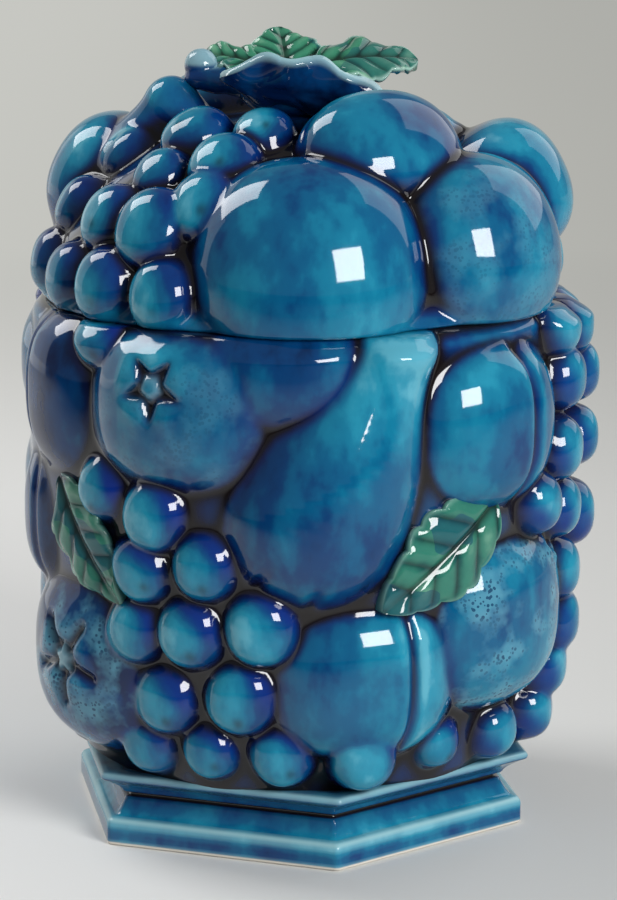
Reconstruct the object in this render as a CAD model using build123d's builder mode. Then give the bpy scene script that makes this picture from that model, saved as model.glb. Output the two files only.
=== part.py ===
from build123d import *
import os
from math import cos, hypot, pi, radians, sin, sqrt

# Fruit-relief canister: hexagonal foot, round jar, domed lid and a finial of leaves.
# The origin is the centre of the foot's underside, with +Z up and a corner of the foot to the front, -Y.
# Sizes are in millimetres. Places on the relief are degrees round from the front corner, towards +X,
# and a share of the way up, so that the fruit follows the walls when a size changes.

# Hexagonal foot: half widths across its flats, and heights
PLINTH_HALF = 62.4
PLINTH_HEIGHT = 8.4
PLINTH_ROUND = 2.2
COVE_HALF = 56.4
COVE_HOLLOW = 0.9
GROOVE_HALF = 55.0
GROOVE_HEIGHT = 13.6
GROOVE_WIDTH = 1.6
BAND_HALF = 57.4
BAND_HOLLOW = 0.8
CORNICE_HALF = 64.2
CORNICE_LIP = 2.2
FOOT_HEIGHT = 22.4
RECESS_RADIUS = 50.0
RECESS_DEPTH = 3.0

# Jar: wall between the fruit, mouth and hollow
WALL_FOOT_RADIUS = 62.0
WALL_BULGE = 7.0
RIM_RADIUS = 75.5
RIM_HEIGHT = 157.5
MOUTH_RADIUS = 65.5
HOLLOW_FLOOR = 11.0
HOLLOW_FLOOR_RADIUS = 44.0
HOLLOW_SIDE_HEIGHT = 60.0
HOLLOW_FLARE = (1, 0.4)

# Lid: lip on the seam, dome between the fruit, hollow and the flange that drops into the mouth
SEAT_GAP = 0.3
LIP_HEIGHT = 5.0
DOME_RADIUS = 71.0
DOME_RISE = 54.0
SHOULDER_RADIUS = 40.0
LID_WALL = 8.0
FLANGE_CLEARANCE = 1.0
FLANGE_WALL = 4.5
FLANGE_DEPTH = 7.0

# Fruit: girth across the stem, and length along it where the fruit is oval
GRAPE_GIRTH = 20.0
POMEGRANATE_GIRTH = 56.0
PLUM_GIRTH = 56.0
LONG_PLUM_LENGTH = 54.0
LONG_PLUM_GIRTH = 42.0
RIM_PLUM_GIRTH = 52.0
LEMON_LENGTH = 47.0
LEMON_GIRTH = 32.0
ORANGE_GIRTH = 62.0
PEACH_GIRTH = 56.0
SIDE_APPLE_GIRTH = 42.0
PEAR_GIRTH = 56.0
PEAR_NECK_GIRTH = 26.0
PEAR_NECK_HEIGHT = 50.0
BIG_PEACH_GIRTH = 63.0
LID_PLUM_LENGTH = 48.0
LID_PLUM_GIRTH = 38.0
LID_ORANGE_GIRTH = 48.0
LID_APPLE_GIRTH = 40.0
LID_PEAR_GIRTH = 40.0
LID_PEAR_NECK_GIRTH = 17.0
LID_PEAR_NECK_HEIGHT = 40.0

# Marks on the fruit
CREASE_RADIUS = 1.5
CREASE_DEPTH = 1.2
EYE_RADIUS = 9.0
EYE_DEPTH = 1.8
STAR_RADIUS = 4.2
STAR_WAIST = 1.9
STAR_HEIGHT = 1.2
CROWN_RADIUS = 6.6
CROWN_WAIST = 3.6
CROWN_HEIGHT = 1.5
CROWN_WALL = 1.9
STAR_POINTS = 5

# Where the marks sit: a crease's turn to the right, or an eye's or a crown's turn to the right and upward
PLUM_CREASE = 15
LONG_PLUM_CREASE = -35
LEMON_CREASE = 30
PEACH_CREASE = 28
LID_PLUM_CREASE = -55
LEFT_EYE = (-5, -10)
RIGHT_EYE = (35, 20)
CROWN_FACE = (-14, 10)

# How far the middle of a large fruit lies below the wall, as a share of its half girth
FRUIT_SINK = 0.55

# Turns that set the relief of the front out again on the back of the jar, and the grapes on the lid
BACK_TURN = 180.0
LID_BACK_TURN = 180.0

# Large fruit on the jar: kind, turn, share of the way up, lean to the right, tip out of the wall, sink
JAR_FRUIT = [
    ("pomegranate", -36, 84, 0, 0, FRUIT_SINK),
    ("rim_plum", -12, 96, 0, 0, 0.68),
    ("pear", -6, 60, 24, 13, 0.52),
    ("plum", 38, 78, 0, 0, FRUIT_SINK),
    ("long_plum", -71, 83, 0, 0, FRUIT_SINK),
    ("lemon", -84, 54, 0, 0, FRUIT_SINK),
    ("left_orange", -69, 25, 0, 0, FRUIT_SINK),
    ("peach", 7, 26, 0, 0, FRUIT_SINK),
    ("right_orange", 46, 35, 0, 0, FRUIT_SINK),
]

# Fruit where the two halves of the relief meet on the left
SIDE_FRUIT = [
    ("side_apple", -103, 85, 0, 0, 0.70),
    ("side_apple", -105, 58, 0, 0, 0.70),
    ("side_apple", -103, 32, 0, 0, 0.70),
    ("side_apple", -105, 9, 0, 0, 0.70),
]

# Grapes on the jar: turn, share of the way up, size, lift off the wall as a share of half a grape
JAR_GRAPES = [
    (-54, 65, 0.95, -0.2),
    (-40, 61, 1.05, -0.1),
    (-44, 49, 1.00, -0.1),
    (-29, 51, 1.00, -0.1),
    (-47, 35, 1.00, -0.1),
    (-33, 36, 1.05, -0.1),
    (-17, 38, 1.10, -0.1),
    (-41, 20, 1.05, -0.1),
    (-22, 22, 1.10, -0.1),
    (-48, 9, 0.95, 0.0),
    (-31, 9, 0.85, 0.0),
    (-13, 9, 0.95, 0.0),
    (6, 9, 1.00, 0.4),
    (27, 9, 0.75, 0.1),
    (48, 8, 0.85, 0.2),
    (-55, 98, 1.00, -0.1),
]

# Grapes at the sides only, where the two halves of the relief meet
SIDE_GRAPES = [
    (68, 8, 0.90, 0.5),
    (63, 96, 0.95, 0.2),
    (65, 84, 0.95, 0.2),
    (62, 69, 0.95, 0.2),
    (51, 59, 0.90, 0.2),
    (66, 55, 0.90, 0.2),
    (70, 40, 0.95, 0.3),
    (72, 28, 1.00, 0.5),
    (70, 18, 0.95, 0.5),
    (75, 94, 0.90, 0.4),
    (78, 83, 0.90, 0.5),
    (80, 68, 0.90, 0.5),
    (82, 50, 1.00, 0.5),
    (87, 36, 0.95, 0.4),
    (88, 24, 0.95, 0.4),
    (87, 11, 0.95, 0.5),
    (90, 95, 0.90, 0.2),
    (92, 80, 0.95, 0.2),
    (-121, 97, 1.00, -0.1),
    (-120, 83, 0.95, -0.1),
    (-121, 70, 1.00, -0.1),
    (-130, 60, 1.00, -0.1),
    (-119, 46, 0.95, -0.1),
    (-117, 20, 1.00, -0.1),
    (-122, 8, 0.95, 0.0),
]

# Large fruit on the lid: kind, turn, climb of the dome in degrees, lean, tip out of the dome, sink
LID_FRUIT = [
    ("big_peach", -6, 22, 0, 0, 0.48),
    ("lid_plum", 25, 54, 90, 0, 0.02),
    ("lid_orange", 47, 24, 0, 0, 0.24),
    ("lid_apple", 77, 33, 0, 0, -0.10),
    ("lid_pear", -112, 29, 10, 8, 0.45),
    ("big_peach", 172, 22, 0, 0, 0.48),
    ("lid_plum", 200, 54, 90, 0, 0.02),
    ("lid_orange", 219, 24, 0, 0, 0.24),
    ("lid_apple", 243, 36, 0, 0, 0.10),
]

# Grapes on the lid: turn, climb of the dome in degrees, size
LID_GRAPES = [
    (-93, 11, 0.90),
    (-74, 10, 0.90),
    (-58, 10, 1.00),
    (-41, 9, 0.95),
    (-92, 29, 0.85),
    (-65, 29, 0.95),
    (-48, 28, 1.10),
    (-35, 36, 1.00),
    (-96, 48, 0.85),
    (-58, 45, 0.80),
    (-35, 50, 1.00),
    (-64, 61, 0.95),
    (-27, 65, 0.85),
    (-101, 58, 0.85),
]

# Grapes on the lid at the right side only
LID_SIDE_GRAPES = [
    (87, 11, 1.05),
    (98, 28, 0.95),
    (100, 45, 0.90),
    (84, 56, 0.90),
]

# Leaf sprigs on the jar: turn, share of the way up, turn from the right, length, width, stand-off
JAR_LEAVES = {
    "leaf_right": (22, 52, 216, 50.0, 28.0, 8.0),
    "leaf_left": (-59, 53, -50, 46.0, 23.0, 5.0),
}
JAR_LEAF_BEND = 85.0
LEAF_GROOVE = 0.9
LEAF_TEETH = 7
TOOTH_DEPTH = 0.14

# Shape of a leaf, in shares of its length and of its half width
LEAF_SKEW = 0.85
LEAF_FULLNESS = 0.80
MIDRIB_END = 0.45
SIDE_VEINS = (0.25, 0.45, 0.65)
VEIN_SWEEP = (0.08, 0.18)
VEIN_REACH = (0.40, 0.80)

# Finial: core with its stem and bud, and leaves round it
CORE_GIRTH = 34.0
CORE_HEIGHT = 17.0
CORE_RISE = 6.0
STEM_RADIUS = 5.5
STEM_TIP_RADIUS = 3.6
BUD_RADIUS = 5.0
CUP_RADIUS = 6.2
BUD_REACH = 28.0
BUD_RISE = 13.0
BUD_TURN = -104.0
FINIAL_LEAF_THICKNESS = 3.2
FINIAL_LEAF_BEND = 55.0

# Finial leaves: turn, reach from the axis, rise over the crown, heading, pitch, bank, length, width
FINIAL_LEAVES = {
    "finial_front_leaf": (11, 17.5, 11.0, 76, 0, 48, 52.0, 22.0),
    "finial_back_leaf": (-169, 8.5, 16.5, 180, 45, 0, 22.0, 27.0),
    "finial_right_leaf": (95, 22.0, 16.5, 95, 0, -24, 32.0, 24.0),
    "finial_small_leaf": (-115, 20.0, 16.5, -112, 8, 22, 22.0, 16.0),
}

# Thickness of the slip that holds the sprigs on
LUTE_GAP = 0.15

# Sizes that follow from those above
TRIM_RADIUS = 2 * RIM_RADIUS
LID_SEAT = RIM_HEIGHT + SEAT_GAP
CROWN = LID_SEAT + DOME_RISE
FLANGE_RADIUS = MOUTH_RADIUS - FLANGE_CLEARANCE
LID_HOLLOW_RADIUS = FLANGE_RADIUS - FLANGE_WALL


def wall_radius(height):
    """Radius of the jar wall between the fruit at a height."""
    share = (height - FOOT_HEIGHT) / (RIM_HEIGHT - FOOT_HEIGHT)
    chord = WALL_FOOT_RADIUS + share * (RIM_RADIUS - WALL_FOOT_RADIUS)
    return chord + 4 * WALL_BULGE * share * (1 - share)


def facing(around, radius, height, face, lean, tip):
    """Place with X to the right, Y up the surface and Z out of it, leaning to the right and tipped out."""
    turn = radians(around)
    tilt = radians(face)
    plane = Plane(
        origin=(radius * sin(turn), -radius * cos(turn), height),
        x_dir=(cos(turn), sin(turn), 0),
        z_dir=(sin(turn) * cos(tilt), -cos(turn) * cos(tilt), sin(tilt)),
    )
    return plane.location * Rotation(0, 0, -lean) * Rotation(tip, 0, 0)


def wall_spot(around, up, lift, lean, tip):
    """Place on the jar wall, lifted off it."""
    height = FOOT_HEIGHT + up / 100 * (RIM_HEIGHT - FOOT_HEIGHT)
    return facing(around, wall_radius(height) + lift, height, 0, lean, tip)


def dome_spot(around, climb, lift, lean, tip):
    """Place on the dome of the lid, lifted off it along its normal."""
    across = cos(radians(climb)) / DOME_RADIUS
    upward = sin(radians(climb)) / DOME_RISE
    length = hypot(across, upward)
    radius = DOME_RADIUS * cos(radians(climb)) + lift * across / length
    height = LID_SEAT + DOME_RISE * sin(radians(climb)) + lift * upward / length
    face = Vector(1, 0).get_angle(Vector(across, upward))
    return facing(around, radius, height, face, lean, tip)


def oval_side(length, girth):
    """Radius of an oval's side arc and of its end caps, and where they meet, along and across."""
    half_length = length / 2
    half_girth = girth / 2
    cap = half_girth**2 / half_length
    side = (half_girth**2 + half_length**2 - 2 * half_length * cap) / (2 * (half_girth - cap))
    span = hypot(side - half_girth, half_length - cap)
    along = (half_length - cap) * (1 + cap / span)
    across = cap * (side - half_girth) / span
    return side, cap, along, across


def oval(length, girth):
    """Oval fruit about its own length, Y, with round end caps and a side arc tangent to them."""
    half_length = length / 2
    half_girth = girth / 2
    side, cap, along, across = oval_side(length, girth)
    with BuildPart() as body:
        with BuildSketch(Plane.YZ):
            with BuildLine():
                RadiusArc((-half_length, 0), (-along, -across), -cap)
                ThreePointArc((-along, -across), (0, -half_girth), (along, -across))
                RadiusArc((along, -across), (half_length, 0), -cap)
                Line((half_length, 0), (-half_length, 0))
            make_face()
        revolve(axis=Axis.Y)
    return body.part


def ball(girth):
    """Round fruit."""
    with BuildPart() as body:
        Sphere(girth / 2)
    return body.part


def star(outer, inner):
    """Corners of a star, one point up."""
    corners = []
    for step in range(2 * STAR_POINTS):
        reach = inner if step % 2 else outer
        angle = pi / 2 + step * pi / STAR_POINTS
        corners.append((reach * cos(angle), reach * sin(angle)))
    return corners


def looking(right, up):
    """Plane through a fruit's middle that faces to the right of, and above, straight out."""
    across = radians(right)
    rise = radians(up)
    return Plane((0, 0, 0), z_dir=(sin(across) * cos(rise), sin(rise), cos(across) * cos(rise)))


def stone_fruit(length, girth, crease):
    """Plum with a crease down one side, turned to the right by the crease's angle."""
    blank = oval(length, girth)
    side = oval_side(length, girth)[0]
    turn = radians(crease)
    middle = (girth / 2 - side) * Vector(sin(turn), 0, cos(turn))
    with BuildPart() as fruit:
        add(blank)
        with Locations(Plane(middle, z_dir=(cos(turn), 0, -sin(turn))).location):
            Torus(side + CREASE_RADIUS - CREASE_DEPTH, CREASE_RADIUS, mode=Mode.SUBTRACT)
    return fruit.part


def peach(girth, crease):
    """Round fruit with a crease down one side, turned to the right by the crease's angle."""
    turn = radians(crease)
    with BuildPart() as fruit:
        Sphere(girth / 2)
        with Locations(Plane((0, 0, 0), z_dir=(cos(turn), 0, -sin(turn))).location):
            Torus(girth / 2 + CREASE_RADIUS - CREASE_DEPTH, CREASE_RADIUS, mode=Mode.SUBTRACT)
    return fruit.part


def eyed_fruit(girth, right, up):
    """Orange with a dished eye and a small star in it."""
    face = looking(right, up)
    with BuildPart() as fruit:
        Sphere(girth / 2)
        with Locations(face.offset(girth / 2 + EYE_RADIUS - EYE_DEPTH).location):
            Sphere(EYE_RADIUS, mode=Mode.SUBTRACT)
        with BuildSketch(face.offset(girth / 2 - 2 * EYE_DEPTH)):
            Polygon(*star(STAR_RADIUS, STAR_WAIST), align=None)
        extrude(amount=EYE_DEPTH + STAR_HEIGHT)
    return fruit.part


def crowned_fruit(girth, right, up):
    """Pomegranate with a star-shaped crown round a hollow."""
    face = looking(right, up)
    with BuildPart() as fruit:
        Sphere(girth / 2)
        with BuildSketch(face.offset(girth / 2 - 2 * CROWN_HEIGHT)):
            Polygon(*star(CROWN_RADIUS, CROWN_WAIST), align=None)
        extrude(amount=3 * CROWN_HEIGHT)
        with BuildSketch(face.offset(girth / 2 - CROWN_HEIGHT)):
            Polygon(*star(CROWN_RADIUS - CROWN_WALL, CROWN_WAIST - CROWN_WALL / 2), align=None)
        extrude(amount=3 * CROWN_HEIGHT, mode=Mode.SUBTRACT)
    return fruit.part


def pear(girth, neck, neck_height):
    """Pear about its own length, Y, with the middle of its bulb at the origin."""
    with BuildPart() as fruit:
        with BuildSketch():
            with BuildLine():
                RadiusArc((0, -girth / 2), (girth / 2, 0), -girth / 2)
                Spline((girth / 2, 0), (neck / 2, neck_height), tangents=((0, 1), (0, 1)))
                RadiusArc((neck / 2, neck_height), (0, neck_height + neck / 2), -neck / 2)
                Line((0, neck_height + neck / 2), (0, -girth / 2))
            make_face()
        revolve(axis=Axis.Y)
    return fruit.part


def fruit_kinds(grow):
    """Every kind of fruit, grown all round by a margin."""
    more = 2 * grow
    return {
        "pomegranate": crowned_fruit(POMEGRANATE_GIRTH + more, *CROWN_FACE),
        "rim_plum": ball(RIM_PLUM_GIRTH + more),
        "pear": pear(PEAR_GIRTH + more, PEAR_NECK_GIRTH + more, PEAR_NECK_HEIGHT),
        "plum": peach(PLUM_GIRTH + more, PLUM_CREASE),
        "long_plum": stone_fruit(LONG_PLUM_LENGTH + more, LONG_PLUM_GIRTH + more, LONG_PLUM_CREASE),
        "lemon": stone_fruit(LEMON_LENGTH + more, LEMON_GIRTH + more, LEMON_CREASE),
        "left_orange": eyed_fruit(ORANGE_GIRTH + more, *LEFT_EYE),
        "peach": peach(PEACH_GIRTH + more, PEACH_CREASE),
        "right_orange": eyed_fruit(ORANGE_GIRTH + more, *RIGHT_EYE),
        "side_apple": ball(SIDE_APPLE_GIRTH + more),
        "big_peach": ball(BIG_PEACH_GIRTH + more),
        "lid_plum": stone_fruit(LID_PLUM_LENGTH + more, LID_PLUM_GIRTH + more, LID_PLUM_CREASE),
        "lid_orange": ball(LID_ORANGE_GIRTH + more),
        "lid_apple": ball(LID_APPLE_GIRTH + more),
        "lid_pear": pear(LID_PEAR_GIRTH + more, LID_PEAR_NECK_GIRTH + more, LID_PEAR_NECK_HEIGHT),
    }


HALF_GIRTH = {
    "pomegranate": POMEGRANATE_GIRTH / 2,
    "rim_plum": RIM_PLUM_GIRTH / 2,
    "pear": PEAR_GIRTH / 2,
    "plum": PLUM_GIRTH / 2,
    "long_plum": LONG_PLUM_GIRTH / 2,
    "lemon": LEMON_GIRTH / 2,
    "left_orange": ORANGE_GIRTH / 2,
    "peach": PEACH_GIRTH / 2,
    "right_orange": ORANGE_GIRTH / 2,
    "side_apple": SIDE_APPLE_GIRTH / 2,
    "big_peach": BIG_PEACH_GIRTH / 2,
    "lid_plum": LID_PLUM_GIRTH / 2,
    "lid_orange": LID_ORANGE_GIRTH / 2,
    "lid_apple": LID_APPLE_GIRTH / 2,
    "lid_pear": LID_PEAR_GIRTH / 2,
}
ALL_GRAPES = JAR_GRAPES + SIDE_GRAPES + LID_GRAPES + LID_SIDE_GRAPES
GRAPE_SIZES = sorted({grape[2] for grape in ALL_GRAPES})


def grape_kinds(grow):
    """Every size of grape, grown all round by a margin."""
    return {size: ball(size * GRAPE_GIRTH + 2 * grow) for size in GRAPE_SIZES}


# Places of the relief on the jar and on the lid, by kind of fruit and by size of grape
jar_spots = {}
for turn, layout in ((0, JAR_FRUIT + SIDE_FRUIT), (BACK_TURN, JAR_FRUIT)):
    for kind, around, up, lean, tip, sink in layout:
        spot = wall_spot(around + turn, up, -sink * HALF_GIRTH[kind], lean, tip)
        jar_spots.setdefault(kind, []).append(spot)
for turn, layout in ((0, JAR_GRAPES + SIDE_GRAPES), (BACK_TURN, JAR_GRAPES)):
    for around, up, size, lift in layout:
        spot = wall_spot(around + turn, up, lift * GRAPE_GIRTH / 2, 0, 0)
        jar_spots.setdefault(size, []).append(spot)

lid_spots = {}
for kind, around, climb, lean, tip, sink in LID_FRUIT:
    spot = dome_spot(around, climb, -sink * HALF_GIRTH[kind], lean, tip)
    lid_spots.setdefault(kind, []).append(spot)
for turn, layout in ((0, LID_GRAPES + LID_SIDE_GRAPES), (LID_BACK_TURN, LID_GRAPES)):
    for around, climb, size in layout:
        lid_spots.setdefault(size, []).append(dome_spot(around + turn, climb, 0, 0, 0))

# Fruit as it is, and fruit grown by the slip round it for what is luted on
fruit = {**fruit_kinds(0), **grape_kinds(0)}
grown_fruit = {**fruit_kinds(LUTE_GAP), **grape_kinds(LUTE_GAP)}


def wall_body(grow):
    """Solid jar wall between the fruit, grown by a margin."""
    middle = (FOOT_HEIGHT + RIM_HEIGHT) / 2
    with BuildPart() as body:
        with BuildSketch(Plane.XZ):
            with BuildLine():
                ThreePointArc(
                    (WALL_FOOT_RADIUS + grow, FOOT_HEIGHT),
                    (wall_radius(middle) + grow, middle),
                    (RIM_RADIUS + grow, RIM_HEIGHT),
                )
                Polyline(
                    (RIM_RADIUS + grow, RIM_HEIGHT),
                    (0, RIM_HEIGHT),
                    (0, FOOT_HEIGHT),
                    (WALL_FOOT_RADIUS + grow, FOOT_HEIGHT),
                )
            make_face()
        revolve(axis=Axis.Z)
    return body.part


def dome_body(radius, rise, shoulder):
    """Solid dome on the lid's seat: a shoulder arc and a crown arc tangent to it."""
    crown = ((radius - shoulder) ** 2 + rise**2 - shoulder**2) / (2 * (rise - shoulder))
    span = hypot(radius - shoulder, crown - rise)
    join = (crown * (radius - shoulder) / span, LID_SEAT + rise - crown + crown * (crown - rise) / span)
    with BuildPart() as body:
        with BuildSketch(Plane.XZ):
            with BuildLine():
                RadiusArc((radius, LID_SEAT), join, -shoulder)
                RadiusArc(join, (0, LID_SEAT + rise), -crown)
                Polyline((0, LID_SEAT + rise), (0, LID_SEAT), (radius, LID_SEAT))
            make_face()
        revolve(axis=Axis.Z)
    return body.part


# Foot: one moulding cut by three pairs of flats, so that its corners are mitred
with BuildPart() as foot:
    for turn in (0, 60, 120):
        with BuildSketch(Plane.XZ.rotated((0, 0, turn))):
            with BuildLine():
                Polyline((0, 0), (PLINTH_HALF, 0), (PLINTH_HALF, PLINTH_HEIGHT - PLINTH_ROUND))
                RadiusArc(
                    (PLINTH_HALF, PLINTH_HEIGHT - PLINTH_ROUND),
                    (PLINTH_HALF - PLINTH_ROUND, PLINTH_HEIGHT),
                    -PLINTH_ROUND,
                )
                SagittaArc(
                    (PLINTH_HALF - PLINTH_ROUND, PLINTH_HEIGHT), (COVE_HALF, GROOVE_HEIGHT), COVE_HOLLOW
                )
                Polyline(
                    (COVE_HALF, GROOVE_HEIGHT),
                    (GROOVE_HALF, GROOVE_HEIGHT),
                    (GROOVE_HALF, GROOVE_HEIGHT + GROOVE_WIDTH),
                    (BAND_HALF, GROOVE_HEIGHT + GROOVE_WIDTH),
                )
                SagittaArc(
                    (BAND_HALF, GROOVE_HEIGHT + GROOVE_WIDTH),
                    (CORNICE_HALF, FOOT_HEIGHT - CORNICE_LIP),
                    BAND_HOLLOW,
                )
                Polyline(
                    (CORNICE_HALF, FOOT_HEIGHT - CORNICE_LIP), (CORNICE_HALF, FOOT_HEIGHT), (0, FOOT_HEIGHT)
                )
                mirror(about=Plane.YZ)
            make_face()
        extrude(amount=2 * CORNICE_HALF, both=True, mode=Mode.INTERSECT if turn else Mode.ADD)

# Jar: solid wall and fruit first, trimmed at the rim and the foot, then the hollow, so that it is smooth
jar_wall = wall_body(0)
with BuildPart() as jar:
    add(jar_wall)
    for kind, spots in jar_spots.items():
        with Locations(*spots):
            add(fruit[kind])
    with Locations((0, 0, RIM_HEIGHT)):
        Cylinder(
            TRIM_RADIUS, RIM_HEIGHT, align=(Align.CENTER, Align.CENTER, Align.MIN), mode=Mode.SUBTRACT
        )
    with Locations((0, 0, FOOT_HEIGHT)):
        Cylinder(
            TRIM_RADIUS, RIM_HEIGHT, align=(Align.CENTER, Align.CENTER, Align.MAX), mode=Mode.SUBTRACT
        )
    add(foot.part)
    with BuildSketch(Plane.XZ):
        with BuildLine():
            Line((0, HOLLOW_FLOOR), (HOLLOW_FLOOR_RADIUS, HOLLOW_FLOOR))
            Spline(
                (HOLLOW_FLOOR_RADIUS, HOLLOW_FLOOR),
                (MOUTH_RADIUS, HOLLOW_SIDE_HEIGHT),
                tangents=(HOLLOW_FLARE, (0, 1)),
            )
            Polyline(
                (MOUTH_RADIUS, HOLLOW_SIDE_HEIGHT),
                (MOUTH_RADIUS, RIM_HEIGHT),
                (0, RIM_HEIGHT),
                (0, HOLLOW_FLOOR),
            )
        make_face()
    revolve(axis=Axis.Z, mode=Mode.SUBTRACT)
    Cylinder(
        RECESS_RADIUS, RECESS_DEPTH, align=(Align.CENTER, Align.CENTER, Align.MIN), mode=Mode.SUBTRACT
    )

# Lid: lip, dome and fruit, trimmed at the seat, then the flange and the hollow
lid_dome = dome_body(DOME_RADIUS, DOME_RISE, SHOULDER_RADIUS)
lid_hollow = dome_body(LID_HOLLOW_RADIUS, DOME_RISE - LID_WALL, SHOULDER_RADIUS - LID_WALL)
with BuildPart() as lid:
    add(lid_dome)
    with Locations((0, 0, LID_SEAT)):
        Cone(RIM_RADIUS, DOME_RADIUS, LIP_HEIGHT, align=(Align.CENTER, Align.CENTER, Align.MIN))
    for kind, spots in lid_spots.items():
        with Locations(*spots):
            add(fruit[kind])
    with Locations((0, 0, LID_SEAT)):
        Cylinder(
            TRIM_RADIUS, RIM_HEIGHT, align=(Align.CENTER, Align.CENTER, Align.MAX), mode=Mode.SUBTRACT
        )
        Cylinder(FLANGE_RADIUS, FLANGE_DEPTH, align=(Align.CENTER, Align.CENTER, Align.MAX))
        Cylinder(
            LID_HOLLOW_RADIUS,
            FLANGE_DEPTH,
            align=(Align.CENTER, Align.CENTER, Align.MAX),
            mode=Mode.SUBTRACT,
        )
    add(lid_hollow, mode=Mode.SUBTRACT)


def leaf_outline(length, width):
    """Toothed outline of a leaf from its base to its tip, in X, and back."""
    edge = []
    steps = 2 * LEAF_TEETH
    for step in range(1, steps):
        share = step / steps
        half = width / 2 * sin(pi * share**LEAF_SKEW) ** LEAF_FULLNESS
        if step % 2 == 0:
            half = half * (1 - TOOTH_DEPTH)
        edge.append(((share - 0.5) * length, half))
    mirrored = [(along, -half) for along, half in reversed(edge)]
    return [(-length / 2, 0)] + edge + [(length / 2, 0)] + mirrored


def on_bend(along, across, bend):
    """Point on the domed top of a leaf."""
    return (along, across, sqrt(bend**2 - along**2 - across**2) - bend)


def leaf(length, width, bend, thickness, veins):
    """Leaf blade, domed to a bend, with its midrib along X, its top up and grooved veins."""
    outline = leaf_outline(length, width)
    ribs = [((-length / 2, 0), (0, 0), (length * MIDRIB_END, 0))]
    for share in SIDE_VEINS:
        start = (share - 0.5) * length
        for half in (-width / 2, width / 2):
            rib = [(start, 0)]
            for along, across in zip(VEIN_SWEEP, VEIN_REACH):
                rib.append((start + length * along, half * across))
            ribs.append(rib)
    with BuildPart() as blade:
        with BuildSketch(Plane.XY.offset(-length)):
            Polygon(*outline, align=None)
        extrude(amount=2 * length)
        with Locations((0, 0, -bend)):
            Sphere(bend, mode=Mode.INTERSECT)
            Sphere(bend - thickness, mode=Mode.SUBTRACT)
        if veins:
            for rib in ribs:
                with BuildLine() as vein:
                    ThreePointArc(*[on_bend(along, across, bend) for along, across in rib])
                with BuildSketch(Plane(vein.line @ 0, z_dir=vein.line % 0)):
                    Circle(LEAF_GROOVE)
                sweep(mode=Mode.SUBTRACT)
    return blade.part


pieces = {"jar": jar, "lid": lid}

# Leaf sprigs on the jar, trimmed to the fruit and the wall that they lie on
grown_wall = wall_body(LUTE_GAP)
for name, (around, up, turned, length, width, stand_off) in JAR_LEAVES.items():
    blank = leaf(length, width, JAR_LEAF_BEND, stand_off + LUTE_GAP, True)
    for half, turn in (("front", 0), ("back", BACK_TURN)):
        place = wall_spot(around + turn, up, stand_off, -turned, 0)
        with BuildPart() as sprig:
            with Locations(place):
                add(blank)
            add(grown_wall, mode=Mode.SUBTRACT)
            for kind, spots in jar_spots.items():
                with Locations(*spots):
                    add(grown_fruit[kind], mode=Mode.SUBTRACT)
        pieces[f"{half}_{name}"] = sprig


def finial_core(grow):
    """Stem end on the crown of the lid, with a round bud in its cup."""
    turn = radians(BUD_TURN)
    bud = Vector(BUD_REACH * sin(turn), -BUD_REACH * cos(turn), CROWN + BUD_RISE)
    heart = Vector(0, 0, CROWN + CORE_RISE)
    core_blank = oval(CORE_HEIGHT + 2 * grow, CORE_GIRTH + 2 * grow)
    stem_length = (bud - heart).length
    with BuildPart() as core:
        with Locations(Location(heart, (90, 0, 0))):
            add(core_blank)
        with Locations(Plane(heart, z_dir=bud - heart).location):
            Cone(
                STEM_RADIUS + grow,
                STEM_TIP_RADIUS + grow,
                stem_length,
                align=(Align.CENTER, Align.CENTER, Align.MIN),
            )
        with Locations(bud):
            Sphere(BUD_RADIUS + grow)
            Sphere(CUP_RADIUS + grow, arc_size1=-90, arc_size2=0)
    return core.part


core_blank = finial_core(0)
grown_core = finial_core(LUTE_GAP)
grown_dome = dome_body(DOME_RADIUS + LUTE_GAP, DOME_RISE + LUTE_GAP, SHOULDER_RADIUS + LUTE_GAP)
with BuildPart() as core:
    add(core_blank)
    add(grown_dome, mode=Mode.SUBTRACT)
    for kind, spots in lid_spots.items():
        with Locations(*spots):
            add(grown_fruit[kind], mode=Mode.SUBTRACT)
pieces["finial_core"] = core

# Finial leaves, each trimmed to the core, the lid and the leaves before it
laid = []
for name, (around, reach, rise, heading, pitch, bank, length, width) in FINIAL_LEAVES.items():
    aim = radians(heading)
    climb = radians(pitch)
    place = Plane(
        origin=(reach * sin(radians(around)), -reach * cos(radians(around)), CROWN + rise),
        x_dir=(sin(aim) * cos(climb), -cos(aim) * cos(climb), sin(climb)),
        z_dir=(-sin(aim) * sin(climb), cos(aim) * sin(climb), cos(climb)),
    ).location * Rotation(-bank, 0, 0)
    blank = leaf(length, width, FINIAL_LEAF_BEND, FINIAL_LEAF_THICKNESS, True)
    grown = leaf(
        length + 2 * LUTE_GAP,
        width + 2 * LUTE_GAP,
        FINIAL_LEAF_BEND + LUTE_GAP,
        FINIAL_LEAF_THICKNESS + 2 * LUTE_GAP,
        False,
    )
    with BuildPart() as blade:
        with Locations(place):
            add(blank)
        add(grown_core, mode=Mode.SUBTRACT)
        add(grown_dome, mode=Mode.SUBTRACT)
        for kind, spots in lid_spots.items():
            with Locations(*spots):
                add(grown_fruit[kind], mode=Mode.SUBTRACT)
        for other_place, other in laid:
            with Locations(other_place):
                add(other, mode=Mode.SUBTRACT)
    pieces[name] = blade
    laid.append((place * Pos(0, 0, LUTE_GAP), grown))

os.makedirs("parts", exist_ok=True)
for name, piece in pieces.items():
    piece.part.label = name
    export_step(piece.part, f"parts/{name}.step")
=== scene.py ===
# Looks of the fruit-relief canister: moulded relief, glazes, leaves, finial, stage, light and camera.
# Sizes are in millimetres and turned into metres where a mesh is made. Places on the relief are degrees
# round from the front corner of the foot, towards +X, and a share of the way up.

import math

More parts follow.
